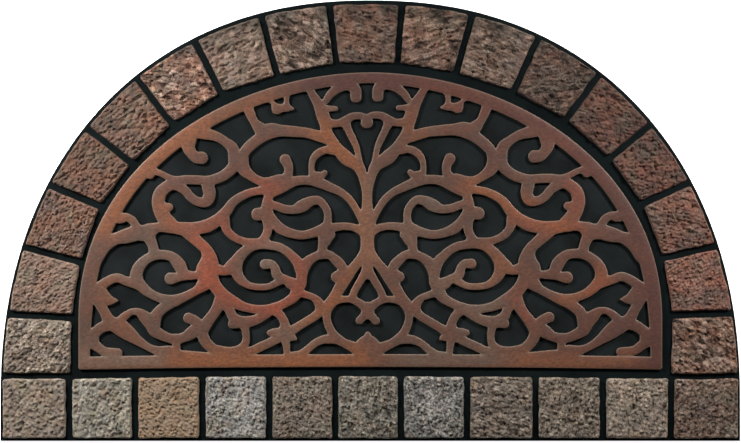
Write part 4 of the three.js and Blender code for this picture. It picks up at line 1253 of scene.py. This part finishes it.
raising = bpy.data.node_groups.new("raising", "GeometryNodeTree")
given = named_inputs(raising, {
    "Height": ("Float", (PANEL_TOP - SHEET_TOP + SUNK_INTO_SHEET) * MM),
    "Rounding": ("Float", 0.9 * MM),
    "Rounding drop": ("Float", 0.7 * MM),
    "Crown": ("Float", 0.2 * MM),
    "Crown reach": ("Float", 5.5 * MM),
    "Dent depth": ("Float", 0.22 * MM),
    "Dent width": ("Float", 7.0 * MM),
    "Material": ("Material", None),
})
plan = given["Geometry"]
raised = add(raising, "GeometryNodeExtrudeMesh", {
    "Mesh": plan, "Offset": (0, 0, 1), "Offset Scale": given["Height"], "Individual": False})
on_top = raised.node.outputs["Top"]
from_edge = attribute(raising, "from_edge")
over = add(raising, "ShaderNodeMapRange", {"Value": from_edge, "From Max": given["Rounding"]})
over = add(raising, "ShaderNodeMath", {0: 1.0, 1: over}, operation="SUBTRACT")
over = add(raising, "ShaderNodeMath", {0: over, 1: 2.0}, operation="POWER")
drop = add(raising, "ShaderNodeMath", {0: over, 1: given["Rounding drop"]}, operation="MULTIPLY")
crown = add(raising, "ShaderNodeMapRange", {"Value": from_edge, "From Max": given["Crown reach"]},
            interpolation_type="SMOOTHSTEP")
crown = add(raising, "ShaderNodeMath", {0: crown, 1: given["Crown"]}, operation="MULTIPLY")
dents = add(raising, "ShaderNodeTexNoise", {
    "Vector": add(raising, "GeometryNodeInputPosition"), "Detail": 2.0, "Roughness": 0.5,
    "Scale": add(raising, "ShaderNodeMath", {0: 1.0, 1: given["Dent width"]}, operation="DIVIDE")})
dents = add(raising, "ShaderNodeMath", {0: dents, 1: 0.5}, operation="SUBTRACT")
dents = add(raising, "ShaderNodeMath", {0: dents, 1: given["Dent depth"]}, operation="MULTIPLY")
lift = add(raising, "ShaderNodeMath", {0: crown, 1: dents}, operation="ADD")
lift = add(raising, "ShaderNodeMath", {0: lift, 1: drop}, operation="SUBTRACT")
raised = add(raising, "GeometryNodeSetPosition", {
    "Geometry": raised, "Selection": on_top, "Offset": add(raising, "ShaderNodeCombineXYZ", {2: lift})})
closed = add(raising, "GeometryNodeJoinGeometry", {"Geometry": raised})
raising.links.new(add(raising, "GeometryNodeFlipFaces", {"Mesh": plan}), closed.node.inputs["Geometry"])
closed = add(raising, "GeometryNodeMergeByDistance", {"Geometry": closed, "Distance": WELD_MM * MM})
closed = add(raising, "GeometryNodeRealizeInstances", {"Geometry": closed})
closed = add(raising, "GeometryNodeSetMaterial", {"Geometry": closed, "Material": given["Material"]})
add(raising, "NodeGroupOutput", {"Geometry": closed})

iron_print = new_material("rusty_iron_print_on_rubber")
run_tree(panel, raising, {"Material": iron_print})
panel.data.set_sharp_from_angle(angle=BAR_CREASE)
print("panel:", len(panel.data.polygons), "faces")

# %% [markdown]
# ## Crumb rubber
# The sheet is hot-pressed tyre crumb: black with a trace of blue, quite matt, and grainy like
# fine sandpaper because crumbs of half a millimetre show at the skin. The same crumb shows on
# the walls of the stones and bars, where no colour was printed, so it is built by a function.

# %% Mix the crumb rubber
CRUMB_MM = 0.9
DUST_MM = 45
FLOOR_BLACKS = ("#0e1010", "#1b1e1e")
# Painted shade: the grooves and the bare walls of the stones get darker blacks than the panel's floor
GROOVE_SHADE_BLACKS = ("#060909", "#0e1415")


def crumb_rubber(tree, blacks):
    """The bare rubber's colour and the height of its crumbs, on Object coordinates."""
    where = add(tree, "ShaderNodeTexCoord", out="Object")
    crumbs = add(tree, "ShaderNodeTexNoise", {
        "Vector": where, "Scale": 1 / (CRUMB_MM * MM), "Detail": 2.0, "Roughness": 0.7})
    dust = add(tree, "ShaderNodeTexNoise", {
        "Vector": where, "Scale": 1 / (DUST_MM * MM), "Detail": 4.0, "Roughness": 0.6})
    share = add(tree, "ShaderNodeMath", {0: crumbs, 1: dust}, operation="MULTIPLY")
    share = add(tree, "ShaderNodeMapRange", {"Value": share, "From Min": 0.15, "From Max": 0.36})
    colour = add(tree, "ShaderNodeMix", {
        0: share, 6: linear(blacks[0]), 7: linear(blacks[1])}, out=2, data_type="RGBA")
    return colour, crumbs


def bare_rubber(name, blacks):
    """The material of bare rubber in two shades of black."""
    material = new_material(name)
    tree = material.node_tree
    colour, crumbs = crumb_rubber(tree, blacks)
    bump = add(tree, "ShaderNodeBump", {"Height": crumbs, "Strength": 0.35, "Distance": 0.25 * MM})
    add(tree, "ShaderNodeOutputMaterial", {"Surface": add(tree, "ShaderNodeBsdfPrincipled", {
        "Base Color": colour, "Roughness": 0.78, "IOR": 1.52, "Specular IOR Level": 0.03,
        "Normal": bump})})
    return material


# The grooves' darker blacks are painted shade; the last face, the panel's floor, takes the lighter blacks
sheet.data.materials.append(bare_rubber("crumb_rubber_with_groove_shade", GROOVE_SHADE_BLACKS))
sheet.data.materials.append(bare_rubber("crumb_rubber_of_panel_floor", FLOOR_BLACKS))
sheet.data.polygons[-1].material_index = 1
print("crumb rubber: grains of", CRUMB_MM, "mm")

# %% [markdown]
# ## Printed stone
# The print is a picture of rock laid over a moulded rock. First come the rock's two colours in
# clouds, with stains of brown and blooms of olive grey. Then we read the relief that the hewing
# tree wrote on the points. Hollows are darker and browner, partly from the print's own dark pits and
# partly as painted shade. Crests are paler, partly from the print and partly as a painted highlight.
# Both stay tinted by their own rock, and fine specks break them up. Near the rim some stones turn
# greyer and darker. Low on the sides the print stops and the black rubber shows.

# %% Print the stones
PRINT_STARTS = 4.7
PRINT_IS_FULL = 5.4
CLOUD_MM = 20
SPECK_MM = 1.3
RELIEF_SHARE = 0.3
CHIP_SHARE = 0.18
# How far from the rim the stones turn greyer and darker, and the grey they turn
RIM_GREY_REACH = 18
RIM_GREY_COLOUR = "#39332b"
# Painted shade in the relief's hollows and a painted highlight on its crests, over the print's own tones
HOLLOW_BROWN = "#33200f"
CREST_PALE = "#b9ab9c"
HOLLOW_SHADE_DIM = 0.2
CREST_HIGHLIGHT_LIFT = 2.4
OWN_TINT = 0.6
RAGGED_MM = 3
RAGGED_BY = 0.8

# Patches over the rock: the colour, how many millimetres wide and how much of it at most
PATCHES = {
    "brown stains": {"colour": "#694a30", "wide": 11, "most": 0.4},
    "olive grey blooms": {"colour": "#65614f", "wide": 17, "most": 0.55},
}


def read_note(tree, name, out="Fac"):
    """Reads a named value of the points in a material."""
    return add(tree, "ShaderNodeAttribute", out=out, attribute_name=name)


def printed_share(tree, starts, is_full):
    """1 where the print lies and 0 on the bare rubber below it, by height above the floor."""
    where = add(tree, "ShaderNodeTexCoord", out="Object")
    height = add(tree, "ShaderNodeSeparateXYZ", {0: where}, out=2)
    ragged = add(tree, "ShaderNodeTexNoise", {
        "Vector": where, "Scale": 1 / (RAGGED_MM * MM), "Detail": 2.0})
    ragged = add(tree, "ShaderNodeMath", {0: ragged, 1: RAGGED_BY * MM}, operation="MULTIPLY")
    height = add(tree, "ShaderNodeMath", {0: height, 1: ragged}, operation="SUBTRACT")
    return add(tree, "ShaderNodeMapRange", {
        "Value": height, "From Min": (starts - RAGGED_BY / 2) * MM,
        "From Max": (is_full - RAGGED_BY / 2) * MM})


tree = stone_print.node_tree
where = add(tree, "ShaderNodeTexCoord", out="Object")
number = read_note(tree, "number")
clouds = add(tree, "ShaderNodeTexNoise", {
    "Vector": where, "W": number, "Scale": 1 / (CLOUD_MM * MM), "Detail": 4.0, "Roughness": 0.65,
}, noise_dimensions="4D")
clouds = add(tree, "ShaderNodeMapRange", {"Value": clouds, "From Min": 0.38, "From Max": 0.62})
rock = add(tree, "ShaderNodeMix", {
    0: clouds, 6: read_note(tree, "rock_main", "Color"), 7: read_note(tree, "rock_clouds", "Color"),
}, out=2, data_type="RGBA")
for patch in PATCHES.values():
    patches = add(tree, "ShaderNodeTexNoise", {
        "Vector": where, "W": number, "Scale": 1 / (patch["wide"] * MM), "Detail": 4.0,
        "Roughness": 0.6,
    }, noise_dimensions="4D")
    patches = add(tree, "ShaderNodeMapRange", {
        "Value": patches, "From Min": 0.48, "From Max": 0.7, "To Max": patch["most"]})
    rock = add(tree, "ShaderNodeMix", {
        0: patches, 6: rock, 7: linear(patch["colour"])}, out=2, data_type="RGBA")
specks = add(tree, "ShaderNodeTexNoise", {
    "Vector": where, "W": number, "Scale": 1 / (SPECK_MM * MM), "Detail": 3.0, "Roughness": 0.75,
}, noise_dimensions="4D")
relief = read_note(tree, "relief")
shade = add(tree, "ShaderNodeMath", {0: relief, 1: RELIEF_SHARE}, operation="MULTIPLY")
shade = add(tree, "ShaderNodeMath", {0: shade, 1: specks}, operation="ADD")
chip_tone = add(tree, "ShaderNodeMath", {
    0: read_note(tree, "chip_tone"), 1: CHIP_SHARE}, operation="MULTIPLY")
shade = add(tree, "ShaderNodeMath", {0: shade, 1: chip_tone}, operation="ADD")
contrast = read_note(tree, "contrast")
# Painted shade: the relief's hollows darker and browner
hollows = add(tree, "ShaderNodeMapRange", {"Value": shade, "From Min": 0.52, "From Max": 0.2})
hollows = add(tree, "ShaderNodeMath", {0: hollows, 1: contrast}, operation="MULTIPLY", use_clamp=True)
# Painted highlight: the relief's crests paler
crests = add(tree, "ShaderNodeMapRange", {
    "Value": shade, "From Min": 0.6, "From Max": 0.95, "To Max": 0.8})
crests = add(tree, "ShaderNodeMath", {0: crests, 1: contrast}, operation="MULTIPLY", use_clamp=True)
dim = add(tree, "ShaderNodeVectorMath", {0: rock, "Scale": HOLLOW_SHADE_DIM}, operation="SCALE")
dim = add(tree, "ShaderNodeMix", {0: OWN_TINT, 6: linear(HOLLOW_BROWN), 7: dim}, out=2, data_type="RGBA")
lit = add(tree, "ShaderNodeVectorMath", {0: rock, "Scale": CREST_HIGHLIGHT_LIFT}, operation="SCALE")
lit = add(tree, "ShaderNodeMix", {0: OWN_TINT, 6: linear(CREST_PALE), 7: lit}, out=2, data_type="RGBA")
rock = add(tree, "ShaderNodeMix", {0: hollows, 6: rock, 7: dim}, out=2, data_type="RGBA")
rock = add(tree, "ShaderNodeMix", {0: crests, 6: rock, 7: lit}, out=2, data_type="RGBA")
# Greyer and darker towards the rim, in the clouds, on the stones that have it
rim_grey = add(tree, "ShaderNodeMapRange", {
    "Value": read_note(tree, "from_rim"), "From Min": RIM_GREY_REACH * MM, "From Max": 0.0, "To Max": 0.8},
    interpolation_type="SMOOTHSTEP")
rim_grey = add(tree, "ShaderNodeMath", {0: rim_grey, 1: read_note(tree, "rim_greying")}, operation="MULTIPLY")
rim_grey = add(tree, "ShaderNodeMath", {0: rim_grey, 1: clouds}, operation="MULTIPLY")
rock = add(tree, "ShaderNodeMix", {0: rim_grey, 6: rock, 7: linear(RIM_GREY_COLOUR)}, out=2, data_type="RGBA")
light = read_note(tree, "light")
rock = add(tree, "ShaderNodeVectorMath", {0: rock, "Scale": light}, operation="SCALE")
# The bare walls below the print take the darker groove blacks, as painted shade
bare, _ = crumb_rubber(tree, GROOVE_SHADE_BLACKS)
printed = printed_share(tree, PRINT_STARTS, PRINT_IS_FULL)
colour = add(tree, "ShaderNodeMix", {0: printed, 6: bare, 7: rock}, out=2, data_type="RGBA")
grit = add(tree, "ShaderNodeBump", {"Height": specks, "Strength": 0.6, "Distance": 0.6 * MM})
add(tree, "ShaderNodeOutputMaterial", {"Surface": add(tree, "ShaderNodeBsdfPrincipled", {
    "Base Color": colour, "Roughness": 0.85, "IOR": 1.5, "Specular IOR Level": 0.25, "Normal": grit})})
print("stone print:", len(tree.nodes), "nodes")

# %% [markdown]
# ## Printed rust
# The print on the scrollwork imitates old iron: brown, with darker blooms. The tones of the table
# lean it to orange, red, maroon or a pale grey brown, each broken up by a finer noise, and a grain
# of short strokes runs over it all. Along the rounded edges the print is paler. This is thinner
# print, plus a painted highlight where the rounded edge catches the light. On the walls there is no print.

# %% Print the scrollwork
IRON_BROWN = "#4a2d20"
IRON_DARK = "#3f2d24"
IRON_TONES = {"orange": "#683a1d", "red": "#6d2f18", "maroon": "#3b1e17", "pale": "#57493d"}
IRON_EDGE_HIGHLIGHT = "#665a4c"
BLOOM_MM = 14
BREAK_MM = 5
STROKE_MM = 1.8
STROKE_ANGLE = np.radians(-10)
STROKE_DRAW = 0.5
IRON_PRINT_STARTS = 6.2
IRON_PRINT_IS_FULL = 6.7

tree = iron_print.node_tree
where = add(tree, "ShaderNodeTexCoord", out="Object")
blooms = add(tree, "ShaderNodeTexNoise", {
    "Vector": where, "Scale": 1 / (BLOOM_MM * MM), "Detail": 5.0, "Roughness": 0.62})
blooms = add(tree, "ShaderNodeMapRange", {"Value": blooms, "From Min": 0.32, "From Max": 0.6})
iron = add(tree, "ShaderNodeMix", {
    0: blooms, 6: linear(IRON_DARK), 7: linear(IRON_BROWN)}, out=2, data_type="RGBA")
breaks = add(tree, "ShaderNodeTexNoise", {
    "Vector": where, "Scale": 1 / (BREAK_MM * MM), "Detail": 4.0, "Roughness": 0.6})
breaks = add(tree, "ShaderNodeMapRange", {
    "Value": breaks, "From Min": 0.3, "From Max": 0.6, "To Min": 0.55, "To Max": 1.05})
for tone, hex_colour in IRON_TONES.items():
    share = add(tree, "ShaderNodeMath", {0: read_note(tree, tone), 1: breaks}, operation="MULTIPLY")
    iron = add(tree, "ShaderNodeMix", {0: share, 6: iron, 7: linear(hex_colour)}, out=2, data_type="RGBA")
strokes = add(tree, "ShaderNodeVectorRotate", {
    "Vector": where, "Angle": STROKE_ANGLE}, rotation_type="Z_AXIS")
strokes = add(tree, "ShaderNodeVectorMath", {
    0: strokes, 1: (STROKE_DRAW, 1.0, 1.0)}, operation="MULTIPLY")
strokes = add(tree, "ShaderNodeTexNoise", {
    "Vector": strokes, "Scale": 1 / (STROKE_MM * MM), "Detail": 3.0, "Roughness": 0.7})
strength = add(tree, "ShaderNodeMapRange", {
    "Value": strokes, "From Min": 0.3, "From Max": 0.7, "To Min": 0.62, "To Max": 1.38})
iron = add(tree, "ShaderNodeVectorMath", {0: iron, "Scale": strength}, operation="SCALE")
# Painted highlight: paler along the rounded edges, where they catch the light, with thinner print there
edge_highlight_share = add(tree, "ShaderNodeMapRange", {
    "Value": read_note(tree, "from_edge"), "From Min": 1.4 * MM, "From Max": 0.5 * MM, "To Max": 0.42})
iron = add(tree, "ShaderNodeMix", {0: edge_highlight_share, 6: iron, 7: linear(IRON_EDGE_HIGHLIGHT)}, out=2, data_type="RGBA")
bare, _ = crumb_rubber(tree, FLOOR_BLACKS)
printed = printed_share(tree, IRON_PRINT_STARTS, IRON_PRINT_IS_FULL)
colour = add(tree, "ShaderNodeMix", {0: printed, 6: bare, 7: iron}, out=2, data_type="RGBA")
skin = add(tree, "ShaderNodeBump", {"Height": strokes, "Strength": 0.4, "Distance": 0.25 * MM})
add(tree, "ShaderNodeOutputMaterial", {"Surface": add(tree, "ShaderNodeBsdfPrincipled", {
    "Base Color": colour, "Roughness": 0.62, "IOR": 1.5, "Specular IOR Level": 0.35, "Normal": skin})})
print("iron print:", len(tree.nodes), "nodes")

# %% [markdown]
# ## Attaching the pieces
# Every piece rides on the mat's one body, and the imported mat is hidden. The sheet lies flat, and
# its real size is the mat's outline.

# %% Attach each piece and hide the imported mat
for piece, slot in [(sheet, "black_rubber"), (panel, "iron_print"), *((s, "stone_print") for s in stones)]:
    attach(piece, "root")
    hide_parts("mat")
